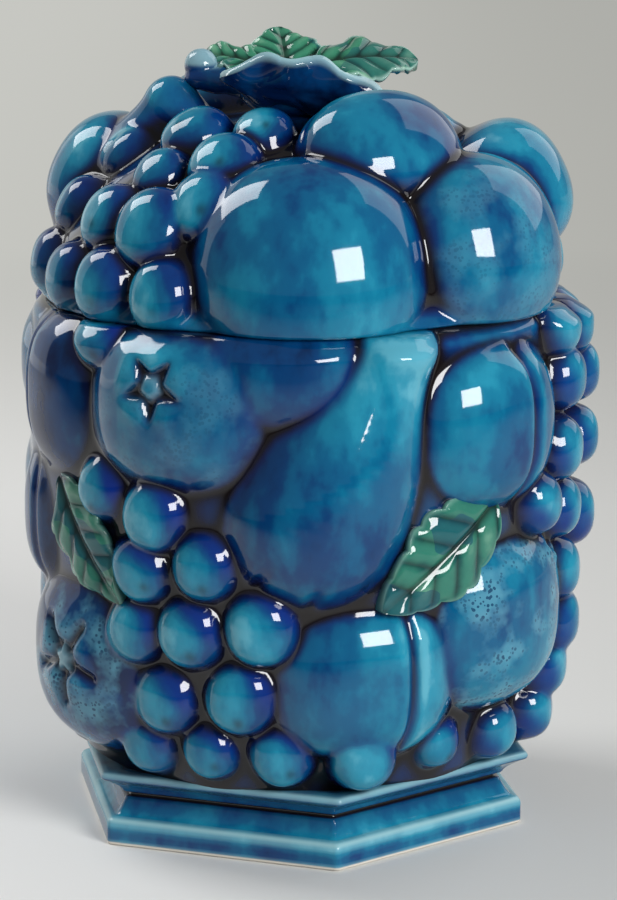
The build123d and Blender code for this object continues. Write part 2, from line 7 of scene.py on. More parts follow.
import bpy
import numpy as np
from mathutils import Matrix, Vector


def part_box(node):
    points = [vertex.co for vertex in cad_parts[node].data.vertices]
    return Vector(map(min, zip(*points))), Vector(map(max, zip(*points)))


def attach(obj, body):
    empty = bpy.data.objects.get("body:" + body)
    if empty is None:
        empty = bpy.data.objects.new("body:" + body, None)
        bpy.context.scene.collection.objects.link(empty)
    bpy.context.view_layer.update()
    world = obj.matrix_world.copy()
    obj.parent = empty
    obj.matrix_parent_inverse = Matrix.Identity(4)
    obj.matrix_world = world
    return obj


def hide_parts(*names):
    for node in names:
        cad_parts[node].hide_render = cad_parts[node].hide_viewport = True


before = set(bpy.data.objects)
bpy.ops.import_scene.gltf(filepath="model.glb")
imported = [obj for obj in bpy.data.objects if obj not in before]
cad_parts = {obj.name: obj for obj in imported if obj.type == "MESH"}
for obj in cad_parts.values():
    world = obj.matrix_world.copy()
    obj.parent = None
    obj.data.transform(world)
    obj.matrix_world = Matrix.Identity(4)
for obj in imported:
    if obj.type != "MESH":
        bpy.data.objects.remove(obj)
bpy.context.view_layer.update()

MM = 0.001

# Jar wall, mouth and hollow
FOOT_HEIGHT = 22.4
WALL_FOOT_RADIUS = 62.0
WALL_BULGE = 7.0
RIM_RADIUS = 75.5
RIM_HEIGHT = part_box("jar")[1].z / MM
MOUTH_RADIUS = 65.5
HOLLOW_FLOOR = 11.0
HOLLOW_FLOOR_RADIUS = 44.0
HOLLOW_SIDE_HEIGHT = 60.0
RIM_ROUND = 1.0

# Rows of the hollow, at the rim, that are glazed like the outside, and how far the wall dips into the foot
RIM_ROWS = 3
WALL_DIP = 1.0

# Lid
SEAT_GAP = 0.3
LID_SEAT = RIM_HEIGHT + SEAT_GAP
LIP_HEIGHT = 5.0
LIP_FILLET = 3.0
DOME_RADIUS = 71.0
DOME_RISE = 54.0
SHOULDER_RADIUS = 40.0
LID_WALL = 8.0
FLANGE_RADIUS = 64.5
LID_HOLLOW_RADIUS = 60.0
FLANGE_DEPTH = 7.0
FLANGE_ROUND = 1.0
CROWN = LID_SEAT + DOME_RISE

# Foot: half widths across its flats
PLINTH_HALF = 62.4
PLINTH_HEIGHT = 8.4
PLINTH_ROUND = 2.2
COVE_HALF = 56.4
GROOVE_HALF = 55.0
GROOVE_HEIGHT = 13.6
GROOVE_WIDTH = 1.6
BAND_HALF = 57.4
CORNICE_HALF = 64.2
CORNICE_LIP = 2.2
RECESS_RADIUS = 50.0
RECESS_DEPTH = 3.0
CORNER_ROUND = 2.0

# Surface of the relief: slope of a fruit's flank, fillet in the valleys, the glaze that fills them, and how
# far below the rim the relief begins to fade
SKIRT = 0.30
VALLEY_FILLET = 2.4
VALLEY_FILL = 2.2
LID_FILL = 2.6
RIM_FADE = 6.0

# How full a fruit is: 2 is a ball, and more is flatter in front with rounder edges, as pressed ware is.
# How square its outline is, 2 being round. How far it stands out, and how tall and wide a grape presses out.
FULLNESS = 3.0
SQUARENESS = 2.5
GRAPE_FULLNESS = 2.7
GRAPE_SQUARENESS = 2.15
BALL = 2.0
STAND_OUT = 0.95
LID_STAND_OUT = 1.0
GRAPE_TALL = 1.08
LID_GRAPE_SPREAD = 1.08
GRAPE_LEAN = 24.0
PEAR_BALLS = 22

# Fineness of the meshes, and the climb of the lid, in radians, below which its lip shows
JAR_COLUMNS = 860
JAR_STEP = 0.6
LID_COLUMNS = 780
LID_ROWS = 170
LID_STEP = 0.55
LIP_CLIMB = 0.5
FOOT_SIDE_STEPS = 24
FOOT_CORNER_STEPS = 9

# How far the relief and the shares of glaze are softened, in steps of the mesh, and the width in millimetres
# of the hollows that the glaze takes as narrow and as wide
RELIEF_BLUR = 0.9
SHARE_BLUR = 1.0
NARROW = 1.6
WIDE = 5.0

# Radius of the smallest ring, at the middle of a turned surface
POLE = 0.5

# Fruit: girth across the stem and length along it. Pears: girth and height of the neck
GRAPE_GIRTH = 20.0
FRUIT_KINDS = {
    "pomegranate": (56.0, 56.0),
    "rim_plum": (52.0, 52.0),
    "pear": (56.0, 56.0),
    "plum": (56.0, 56.0),
    "long_plum": (42.0, 54.0),
    "lemon": (32.0, 47.0),
    "left_orange": (62.0, 62.0),
    "peach": (56.0, 56.0),
    "right_orange": (62.0, 62.0),
    "side_apple": (42.0, 42.0),
    "big_peach": (63.0, 63.0),
    "lid_plum": (38.0, 48.0),
    "lid_orange": (54.0, 54.0),
    "lid_apple": (40.0, 40.0),
    "lid_pear": (40.0, 40.0),
}
NECKS = {"pear": (26.0, 56.0), "lid_pear": (17.0, 40.0)}

# How far the middle of a large fruit lies below the wall, as a share of its half girth
FRUIT_SINK = 0.55

# Turn that sets the relief of the front out again on the back
BACK_TURN = 180.0

# Large fruit on the jar: kind, turn, share of the way up, lean to the right, tip out of the wall, sink
JAR_FRUIT = [
    ("pomegranate", -36, 84, 0, 0, FRUIT_SINK),
    ("rim_plum", -12, 96, 0, 0, 0.60),
    ("pear", -6, 60, 24, 9, 0.50),
    ("plum", 38, 78, 0, 0, FRUIT_SINK),
    ("long_plum", -71, 83, 0, 0, FRUIT_SINK),
    ("lemon", -84, 54, 0, 0, FRUIT_SINK),
    ("left_orange", -69, 25, 0, 0, FRUIT_SINK),
    ("peach", 7, 26, 0, 0, FRUIT_SINK),
    ("right_orange", 46, 35, 0, 0, FRUIT_SINK),
]

# Fruit where the two halves of the relief meet on the left
SIDE_PLACES = [(-103, 85), (-105, 58), (-103, 32), (-105, 9)]
SIDE_FRUIT = [("side_apple", around, up, 0, 0, 0.70) for around, up in SIDE_PLACES]

# Grapes on the jar: turn, share of the way up, size, lift off the wall as a share of half a grape
JAR_GRAPES = [
    (-54, 65, 0.95, -0.2),
    (-40, 61, 1.05, -0.1),
    (-44, 49, 1.00, -0.1),
    (-29, 51, 1.00, -0.1),
    (-47, 35, 1.00, -0.1),
    (-33, 36, 1.05, -0.1),
    (-17, 38, 1.10, -0.1),
    (-41, 20, 1.05, -0.1),
    (-22, 22, 1.10, -0.1),
    (-48, 9, 0.95, 0.0),
    (-31, 9, 0.85, 0.0),
    (-13, 9, 0.95, 0.0),
    (6, 9, 1.00, 0.4),
    (27, 9, 0.75, 0.1),
    (48, 8, 0.85, 0.2),
    (-55, 98, 1.00, -0.1),
]

# Grapes at the sides only, where the two halves of the relief meet
SIDE_GRAPES = [
    (68, 8, 0.90, 0.5),
    (63, 96, 0.95, 0.2),
    (65, 84, 0.95, 0.2),
    (62, 69, 0.95, 0.2),
    (51, 59, 0.90, 0.2),
    (66, 55, 0.90, 0.2),
    (70, 40, 0.95, 0.3),
    (72, 28, 1.00, 0.5),
    (70, 18, 0.95, 0.5),
    (75, 94, 0.90, 0.4),
    (78, 83, 0.90, 0.5),
    (80, 68, 0.90, 0.5),
    (82, 50, 1.00, 0.5),
    (87, 36, 0.95, 0.4),
    (88, 24, 0.95, 0.4),
    (87, 11, 0.95, 0.5),
    (90, 95, 0.90, 0.2),
    (92, 80, 0.95, 0.2),
    (-121, 97, 1.00, -0.1),
    (-120, 83, 0.95, -0.1),
    (-121, 70, 1.00, -0.1),
    (-130, 60, 1.00, -0.1),
    (-119, 46, 0.95, -0.1),
    (-117, 20, 1.00, -0.1),
    (-122, 8, 0.95, 0.0),
]

# Large fruit on the lid: kind, turn, climb of the dome in degrees, lean, tip out of the dome, sink
LID_FRUIT = [
    ("big_peach", -6, 22, 0, 0, 0.48),
    ("lid_plum", 25, 54, 90, 0, 0.02),
    ("lid_orange", 46, 23, 0, 0, 0.31),
    ("lid_apple", 77, 33, 0, 0, -0.10),
    ("lid_pear", -112, 29, 10, 8, 0.45),
    ("big_peach", 172, 22, 0, 0, 0.48),
    ("lid_plum", 200, 54, 90, 0, 0.02),
    ("lid_orange", 219, 23, 0, 0, 0.31),
    ("lid_apple", 243, 36, 0, 0, 0.10),
]

# Grapes on the lid: turn, climb of the dome in degrees, size
LID_GRAPES = [
    (-93, 11, 0.90),
    (-74, 10, 0.90),
    (-58, 10, 1.00),
    (-41, 9, 0.95),
    (-92, 29, 0.85),
    (-65, 29, 0.95),
    (-48, 28, 1.10),
    (-35, 36, 1.00),
    (-96, 48, 0.85),
    (-58, 45, 0.80),
    (-35, 50, 1.00),
    (-64, 61, 0.95),
    (-27, 65, 0.85),
    (-101, 58, 0.85),
]

# Grapes on the lid at the right side only
LID_SIDE_GRAPES = [
    (87, 11, 1.05),
    (98, 28, 0.95),
    (100, 45, 0.90),
    (84, 56, 0.90),
]

# Creases: turn to the right of straight out, width and depth, and the share of the half length they run to
CREASES = {
    "plum": (14, 1.7, 1.9),
    "long_plum": (-24, 1.3, 1.3),
    "lemon": (22, 1.2, 1.3),
    "peach": (24, 1.8, 2.0),
    "lid_plum": (-55, 1.6, 1.7),
}
CREASE_END = 0.95

# Where the crown of the pomegranate, the star of the left orange and the blossom end of the right orange
# face: to the right, and upward. Where the stem of the plum lies, as shares of its half girth and length
CROWN_FACE = (-5, 15)
LOBES_FACE = (10, 2)
BLOSSOM_FACE = (38, 34)
STEM_PLACE = (0.22, 0.78)
FIFTH = 2 * math.pi / 5

# Kinds of fruit whose glaze is stippled, and how much
MOTTLED = {"left_orange": 1.0, "right_orange": 1.0, "lid_orange": 0.35, "pomegranate": 0.35}

# A steady share of lighter or darker glaze on a fruit, then shares of thinner, so lighter, glaze that come
# in along an axis of the fruit, 0 to its right or 1 up it, from one place to another. The steady shares
# darken fruit on the left of the front and lighten fruit on the right, as painted shade and painted light.
# Other kinds lighten a little towards the top
LIGHT = {
    "pear": (0.0, (0.50, 1, 0.7, 1.8), (-0.04, 1, 0.5, -0.4)),
    "lid_pear": (-0.16, (0.12, 1, 0.5, 1.2)),
    "peach": (0.12, (0.22, 0, 0.30, 0.55)),
    "plum": (0.05, (0.22, 0, 0.10, -0.65)),
    "lid_plum": (-0.02, (0.12, 0, -0.2, 0.5)),
    "big_peach": (0.05, (0.26, 1, 0.1, -0.6)),
    "right_orange": (0.16,),
    "lid_apple": (0.16,),
    "lid_orange": (0.16,),
    "left_orange": (-0.16,),
    "long_plum": (-0.16,),
    "lemon": (-0.16,),
}
TOP_LIGHT = 0.06

# Grapes beyond this turn have their cobalt on the other side. How strong it is on the jar and on the lid.
# Each fruit's seed lies a step on from the last
RIGHT_SIDE = 40
JAR_COBALT = 1.0
LID_COBALT = 0.55
SEED_STEP = 0.618

# Shares of glaze that a mesh carries
ATTRIBUTES = ("thin", "cobalt", "pool", "mottle", "pale", "bare", "inside")


def smooth(low, high, value):
    """0 below low, 1 above high, with a soft step between them."""
    share = np.clip((value - low) / (high - low), 0, 1)
    return share * share * (3 - 2 * share)


def bell(value, width):
    """1 in the middle of a groove or ridge, falling off over its width."""
    return np.exp(-((value / width) ** 2))


def wall_radius(height):
    """Radius of the jar wall between the fruit at a height."""
    share = (height - FOOT_HEIGHT) / (RIM_HEIGHT - FOOT_HEIGHT)
    chord = WALL_FOOT_RADIUS + share * (RIM_RADIUS - WALL_FOOT_RADIUS)
    return chord + 4 * WALL_BULGE * share * (1 - share)


def toward(turn, climb=0.0):
    """Direction turned from the front to the right, and raised, both in radians."""
    return np.array([math.sin(turn) * math.cos(climb), -math.cos(turn) * math.cos(climb), math.sin(climb)])


def facing(around, radius, height, face, lean=0.0, tip=0.0):
    """Middle and rows right, up and out of a place on the relief."""
    turn, tilt, roll, rock = (math.radians(angle) for angle in (around, face, lean, tip))
    right = np.array([math.cos(turn), math.sin(turn), 0])
    out = toward(turn, tilt)
    up = np.cross(out, right)
    across = math.cos(roll) * right - math.sin(roll) * up
    along = math.sin(roll) * right + math.cos(roll) * up
    along, out = math.cos(rock) * along + math.sin(rock) * out, math.cos(rock) * out - math.sin(rock) * along
    middle = radius * toward(turn) + np.array([0, 0, height])
    return middle, np.array([across, along, out])


def wall_spot(around, up, lift, lean=0.0, tip=0.0):
    """Place on the jar wall, lifted off it."""
    height = FOOT_HEIGHT + up / 100 * (RIM_HEIGHT - FOOT_HEIGHT)
    return facing(around, wall_radius(height) + lift, height, 0, lean, tip)


def dome_spot(around, climb, lift, lean=0.0, tip=0.0):
    """Place on the dome of the lid, lifted off it along its normal."""
    across = math.cos(math.radians(climb)) / DOME_RADIUS
    upward = math.sin(math.radians(climb)) / DOME_RISE
    length = math.hypot(across, upward)
    radius = DOME_RADIUS * math.cos(math.radians(climb)) + lift * across / length
    height = LID_SEAT + DOME_RISE * math.sin(math.radians(climb)) + lift * upward / length
    return facing(around, radius, height, math.degrees(math.atan2(upward, across)), lean, tip)


def pear_balls(girth, neck, neck_height):
    """Balls that a pear is melted from: how far up its stem each lies, and half its girth."""
    shares = np.linspace(0, 1, PEAR_BALLS)
    return [(share * neck_height, (girth + smooth(0, 1, share) * (neck - girth)) / 2) for share in shares]


class Fruit:
    """One fruit of the relief: an oval, or balls in a row."""

    def __init__(self, kind, spot, half, turn):
        self.kind = kind
        self.middle, self.axes = spot
        self.half = np.array(half, float)
        self.turn = turn
        self.balls = [(0, None)]
        if kind in NECKS:
            self.balls = pear_balls(FRUIT_KINDS[kind][0], *NECKS[kind])


def large_fruit(kind, turn, place, stand_out):
    """Large fruit at a place on the relief."""
    girth, length = FRUIT_KINDS[kind]
    return Fruit(kind, place, (girth / 2, length / 2, stand_out * girth / 2), turn)


def grape(spot, half, turn, stand_out):
    """Grape pressed a little tall."""
    return Fruit("grape", spot, (half, GRAPE_TALL * half, stand_out * half), turn)


def grape_lean(turn, up):
    """Lean of a grape, scattered to one side or the other by its place."""
    return GRAPE_LEAN * math.sin(2.1 * turn + 0.7 * up)


def jar_fruits():
    """Every fruit on the jar, front set, back set and the fruit where they meet."""
    found = []
    for turn, layout in ((0, JAR_FRUIT + SIDE_FRUIT), (BACK_TURN, JAR_FRUIT)):
        for kind, around, up, lean, tip, sink in layout:
            lift = -sink * FRUIT_KINDS[kind][0] / 2
            found.append(large_fruit(kind, around, wall_spot(around + turn, up, lift, lean, tip), STAND_OUT))
    for turn, layout in ((0, JAR_GRAPES + SIDE_GRAPES), (BACK_TURN, JAR_GRAPES)):
        for around, up, size, lift in layout:
            half = size * GRAPE_GIRTH / 2
            spot = wall_spot(around + turn, up, lift * GRAPE_GIRTH / 2, grape_lean(around, up))
            found.append(grape(spot, half, around, STAND_OUT))
    return found


def lid_fruits():
    """Every fruit on the lid."""
    found = []
    for kind, around, climb, lean, tip, sink in LID_FRUIT:
        lift = -sink * FRUIT_KINDS[kind][0] / 2
        found.append(large_fruit(kind, around, dome_spot(around, climb, lift, lean, tip), LID_STAND_OUT))
    for turn, layout in ((0, LID_GRAPES + LID_SIDE_GRAPES), (BACK_TURN, LID_GRAPES)):
        for around, climb, size in layout:
            half = size * GRAPE_GIRTH / 2
            spot = dome_spot(around + turn, climb, 0)
            found.append(grape(spot, LID_GRAPE_SPREAD * half, around, LID_STAND_OUT / LID_GRAPE_SPREAD))
    return found


def reach(starts, rays, middle, axes, half, squareness, fullness):
    """How far along each ray a fruit's skin lies, with a drafted skirt below its girth, and where it hits."""
    scaled = axes / half[:, None]
    slope = rays @ scaled.T
    begin = (starts - middle) @ scaled.T
    square = (slope**2).sum(-1)
    nearest = (slope * begin).sum(-1) / square
    offset = np.abs(begin - nearest[..., None] * slope)
    aside = (offset**squareness).sum(-1) ** (fullness / squareness)
    chord = (1 - aside) / square
    least = SKIRT * half[2]
    steep = least + (chord - least**2) / (2 * least)
    far = np.where(chord > least**2, np.sqrt(np.maximum(chord, least**2)), steep) - nearest
    return far, begin + far[..., None] * slope


def blend(one, two, fillet):
    """The larger of two heights, with a fillet where they meet."""
    near = np.clip(1 - np.abs(one - two) / fillet, 0, 1)
    return np.maximum(one, two) + fillet * near**2 / 4


def crease(point, half, turn, width, depth):
    """Groove down one side of a fruit, turned to the right of straight out."""
    angle = math.radians(turn)
    side = point[..., 0] * math.cos(angle) - point[..., 2] * math.sin(angle)
    front = point[..., 0] * math.sin(angle) + point[..., 2] * math.cos(angle)
    length = smooth(CREASE_END + 0.12, CREASE_END, np.abs(point[..., 1]))
    return -depth * bell(side * half[0], width) * smooth(-0.1, 0.15, front) * length


def eye_place(point, half, right, up):
    """Polar place round an eye on a fruit that faces to the right of, and above, straight out."""
    across, rise = math.radians(right), math.radians(up)
    face = np.array([math.sin(across) * math.cos(rise), math.sin(rise), math.cos(across) * math.cos(rise)])
    side = np.array([math.cos(across), 0, -math.sin(across)])
    over = np.cross(face, side)
    u = (point @ side) * half[0]
    v = (point @ over) * half[1]
    return np.hypot(u, v), np.arctan2(v, u), (point @ face) > 0


def five_arms(angle):
    """Angle from the nearest of five arms, one of them straight up."""
    return (angle - math.pi / 2 + FIFTH / 2) % FIFTH - FIFTH / 2


def star(away, arm, waist):
    """Distance from the middle of a star, stretched between its arms so that its outline has one value."""
    return away * (1 + waist * np.abs(np.sin(arm)) / math.sin(FIFTH / 2))


def crown_mark(point, half):
    """Hollow of a pomegranate's crown with five arms and a raised pentagon, and where it is pale."""
    away, angle, front = eye_place(point, half, *CROWN_FACE)
    arm = five_arms(angle + FIFTH / 2)
    recess = smooth(11.0, 8.0, star(away, arm, 1.25))
    lobes = 0.7 * bell(away - 9.5, 3.0) * (1 - bell(away * np.sin(arm), 3.5))
    pentagon = away * np.cos(five_arms(angle)) / 0.9
    centre = smooth(3.4, 2.8, pentagon)
    dip = -2.2 * recess * (1 - centre) + lobes - 0.4 * centre
    edge = 0.50 * bell(pentagon - 2.8, 0.7) * centre
    return front * dip, front * np.where(centre > 0.2, edge, -0.85 * recess)


def lobes_mark(point, half):
    """Five swollen lobes round a raised star, and where it is pale."""
    away, angle, front = eye_place(point, half, *LOBES_FACE)
    aside = away * np.sin(five_arms(angle + FIFTH / 2))
    grooves = bell(aside, 1.7) * smooth(3.0, 5.0, away) * (1 - smooth(12.0, 16.0, away))
    lobes = 1.1 * bell(away - 9.0, 4.0) * (1 - bell(aside, 3.0))
    centre = smooth(5.4, 4.4, star(away, five_arms(angle), 1.1))
    dip = -2.0 * np.maximum(grooves, smooth(6.8, 4.5, away)) * (1 - centre) + lobes - 0.3 * centre
    dark = -0.6 * np.maximum(grooves, smooth(6.8, 5.0, away))
    return front * dip, front * np.where(centre > 0.2, 0.5 * centre, dark)


def blossom_mark(point, half):
    """Small crimped blossom end of an orange."""
    away, angle, front = eye_place(point, half, *BLOSSOM_FACE)
    crimp = bell(away - 5.5, 2.0) * (0.7 + 0.3 * np.cos(9 * angle))
    return front * (crimp - 1.6 * smooth(5.0, 2.0, away))


def folds_mark(point, half):
    """Folds at the blossom end of the pear."""
    low = smooth(-0.25, -0.75, point[..., 1])
    folds = bell((point[..., 0] + 0.28) * half[0], 1.8) + bell((point[..., 0] - 0.30) * half[0], 1.8)
    return -1.5 * low * folds * (point[..., 2] > 0)


def stem_mark(point, half):
    """Dimple of a plum's stem."""
    away = np.hypot(point[..., 0] - STEM_PLACE[0], point[..., 1] - STEM_PLACE[1]) * half[0]
    return -2.6 * bell(away, 3.2) * (point[..., 2] > 0)


def mark_height(fruit, point):
    """How far a fruit's mark raises or lowers its skin, and where it is pale or, below nought, dark."""
    half = fruit.half
    if fruit.kind == "pomegranate":
        return crown_mark(point, half)
    if fruit.kind == "left_orange":
        return lobes_mark(point, half)
    height = 0.0
    if fruit.kind == "right_orange":
        height = blossom_mark(point, half)
    if fruit.kind == "pear":
        height = folds_mark(point, half)
    if fruit.kind in CREASES:
        height = crease(point, half, *CREASES[fruit.kind])
    if fruit.kind == "plum":
        height = height + stem_mark(point, half)
    return height, 0.0


def softened(field, width):
    """Field blurred over a number of columns, which close in a ring, and of rows, which do not."""
    columns = len(field)
    pad = int(4 * width) + 1
    padded = np.concatenate([np.repeat(field[:, :1], pad, 1), field, np.repeat(field[:, -1:], pad, 1)], 1)
    ring = np.exp(-2 * (math.pi * width * np.fft.fftfreq(columns)) ** 2)
    line = np.exp(-2 * (math.pi * width * np.fft.rfftfreq(padded.shape[1])) ** 2)
    blurred = np.fft.irfft2(np.fft.rfft2(padded) * ring[:, None] * line[None, :], s=padded.shape)
    return blurred[:, pad:-pad]


def fruit_skin(starts, rays, fruit):
    """How far along each ray a fruit's bare skin lies, and the place on the fruit that the ray meets."""
    skin, local = None, None
    squareness, fullness = SQUARENESS, FULLNESS
    if fruit.kind == "grape":
        squareness, fullness = GRAPE_SQUARENESS, GRAPE_FULLNESS
    if fruit.kind in NECKS:
        squareness, fullness = BALL, BALL
    for along, girth in fruit.balls:
        half = fruit.half if girth is None else np.array([girth, girth, STAND_OUT * girth])
        middle = fruit.middle + along * fruit.axes[1]
        far, point = reach(starts, rays, middle, fruit.axes, half, squareness, fullness)
        if skin is None:
            skin, local = far, point
            continue
        higher = far > skin
        local[higher] = point[higher] + np.array([0, along / fruit.half[1], 0])
        skin = np.maximum(skin, far)
    return skin, local


def relief(starts, rays, ground, fruits, spacing):
    """Distance along each ray of the glazed relief over the ground, and what the glaze needs to know."""
    height = ground.copy()
    names = ("grape", "mottle", "side", "seed", "owned", "light", "pale")
    facts = {name: np.zeros(height.shape) for name in names}
    facts["point"] = np.zeros(rays.shape)
    for seed, fruit in enumerate(fruits):
        skin, local = fruit_skin(starts, rays, fruit)
        dip, pale = mark_height(fruit, local)
        skin = skin + dip
        wins = skin > height
        facts["pale"][wins] = np.broadcast_to(pale, skin.shape)[wins]
        facts["point"][wins] = local[wins]
        facts["grape"][wins] = fruit.kind == "grape"
        facts["mottle"][wins] = MOTTLED.get(fruit.kind, 0.0)
        facts["light"][wins] = fruit_light(fruit, local)[wins]
        facts["side"][wins] = 1 if fruit.turn > RIGHT_SIDE else -1
        facts["seed"][wins] = (seed * SEED_STEP) % 1
        facts["owned"][wins] = 1
        height = blend(height, skin, VALLEY_FILLET)
    height = softened(height, RELIEF_BLUR)
    facts["hollow"] = softened(height, NARROW / spacing) - height
    facts["wide"] = softened(height, WIDE / spacing) - height
    return height, facts


def fruit_light(fruit, point):
    """Painted light and shade on a whole fruit, and lighter, thinner glaze over one part than the rest."""
    if fruit.kind not in LIGHT:
        return TOP_LIGHT * point[..., 1]
    steady, *parts = LIGHT[fruit.kind]
    light = np.full(point.shape[:-1], steady)
    for share, axis, start, end in parts:
        light = light + share * smooth(start, end, point[..., axis])
    return light


def glaze_fields(facts):
    """Shares of thin glaze with painted light and shade, cobalt, mottling and dark pooling over a relief."""
    point, grape, side, seed = facts["point"], facts["grape"], facts["side"], facts["seed"]
    right, up, out = point[..., 0], point[..., 1], point[..., 2]
    low = facts["hollow"] + 0.18 * np.maximum(facts["wide"], 0) + 0.35 * (1 - facts["owned"])
    pool = smooth(0.20, 0.80, low)
    patch = smooth(0.30, 0.98, -0.42 * right - 0.18 * up + 0.88 * out)
    crest = smooth(0.0, 3.0, -facts["wide"])
    rim = smooth(0.05, 0.30, -facts["hollow"])
    # The light fact of a large fruit brings its painted light and shade into the thin share.
    thin = grape * (0.27 + 0.56 * patch) + (1 - grape) * (0.36 + 0.18 * crest + 0.20 * rim + facts["light"])
    thin = thin - (0.14 + 0.16 * grape) * smooth(0.1, 1.4, facts["wide"])
    lean = -side * 0.62 * right + np.where(side < 0, 0.62, -0.4) * up + 0.25 * (seed - 0.5)
    edge = smooth(0.70, 0.20, out)
    cobalt = grape * facts["cobalt"] * smooth(0.22, 0.62, lean) + (1 - grape) * 0.40 * edge
    cobalt = np.maximum(cobalt, smooth(0.02, 0.35, facts["hollow"]) * 0.85)
    spot = grape * (seed > 0.35) * bell(np.hypot(right - 0.3 * seed, up + 0.50), 0.13) * (out > 0)
    pool = np.maximum(np.maximum(pool, 0.75 * spot), -facts["pale"])
    pale = np.maximum(facts["pale"], 0)
    shares = dict(thin=thin, cobalt=cobalt, pool=pool, mottle=facts["mottle"], pale=pale)
    return {name: softened(share, SHARE_BLUR) for name, share in shares.items()}


def no_fields(shape, **given):
    """Glaze shares of nought over a shape, with those that are given."""
    fields = {name: np.zeros(shape) for name in ATTRIBUTES}
    for name, value in given.items():
        fields[name] = np.broadcast_to(value, shape).astype(float)
    return fields


def closed_faces(columns, rows, first=0, flip=False):
    """Faces of rows that close in a ring, with a cap on the first row and on the last."""
    column = np.arange(columns)
    following = (column + 1) % columns
    row = np.arange(rows - 1)[:, None] * columns
    quads = np.stack([row + column, row + following, row + columns + following, row + columns + column], -1)
    faces = (quads + first).reshape(-1, 4).tolist()
    faces.append((first + column[::-1]).tolist())
    faces.append((first + (rows - 1) * columns + column).tolist())
    return [face[::-1] for face in faces] if flip else faces


def placed(name, data):
    """Object of some data, in the scene."""
    made = bpy.data.objects.new(name, data)
    bpy.context.scene.collection.objects.link(made)
    return made


def glazed(mesh, fields, material):
    """Smooth object of a mesh, with its glaze shares as attributes."""
    for key, values in fields.items():
        attribute = mesh.attributes.new(key, "FLOAT", "POINT")
        attribute.data.foreach_set("value", np.asarray(values, np.float32).ravel())
    mesh.polygons.foreach_set("use_smooth", np.full(len(mesh.polygons), True))
    mesh.materials.clear()
    mesh.materials.append(material)
    return placed(mesh.name, mesh)


def mesh_of(name, points, faces):
    """Mesh from points in millimetres."""
    mesh = bpy.data.meshes.new(name)
    mesh.from_pydata((np.asarray(points) * MM).tolist(), [], faces)
    mesh.update()
    return mesh


def turned(profile, columns):
    """Points of rings round the axis, row by row, from the radius and height of each."""
    angle = np.linspace(0, 2 * math.pi, columns, endpoint=False)
    radii, heights = np.array(profile, float).T[..., None]
    return np.stack([radii * np.sin(angle), -radii * np.cos(angle), heights + 0 * angle], -1)


def arc(middle, radius, start, end, steps):
    """Points of a profile arc, angles in degrees from outward."""
    angles = np.radians(np.linspace(start, end, steps))
    return [(middle[0] + radius * math.cos(a), middle[1] + radius * math.sin(a)) for a in angles]


def hollow_profile():
    """Inside of the jar from the middle of its floor up to the rim."""
    share = np.linspace(0, 1, 26)
    start = np.array([HOLLOW_FLOOR_RADIUS, HOLLOW_FLOOR])
    end = np.array([MOUTH_RADIUS, HOLLOW_SIDE_HEIGHT])
    span = np.linalg.norm(end - start)
    lean_in = np.array([1, 0.4]) / math.hypot(1, 0.4) * span
    lean_out = np.array([0, 1]) * span
    square, cube = share**2, share**3
    bend = (
        np.outer(2 * cube - 3 * square + 1, start)
        + np.outer(cube - 2 * square + share, lean_in)
        + np.outer(-2 * cube + 3 * square, end)
        + np.outer(cube - square, lean_out)
    )
    floor = [(radius, HOLLOW_FLOOR) for radius in (POLE, 12, 24, 36)]
    straight = np.linspace(HOLLOW_SIDE_HEIGHT + 6, RIM_HEIGHT - RIM_ROUND, 16)
    side = [(MOUTH_RADIUS, height) for height in straight]
    edge = arc((MOUTH_RADIUS + RIM_ROUND, RIM_HEIGHT - RIM_ROUND), RIM_ROUND, 160, 90, 5)
    return floor + [tuple(place) for place in bend] + side + edge


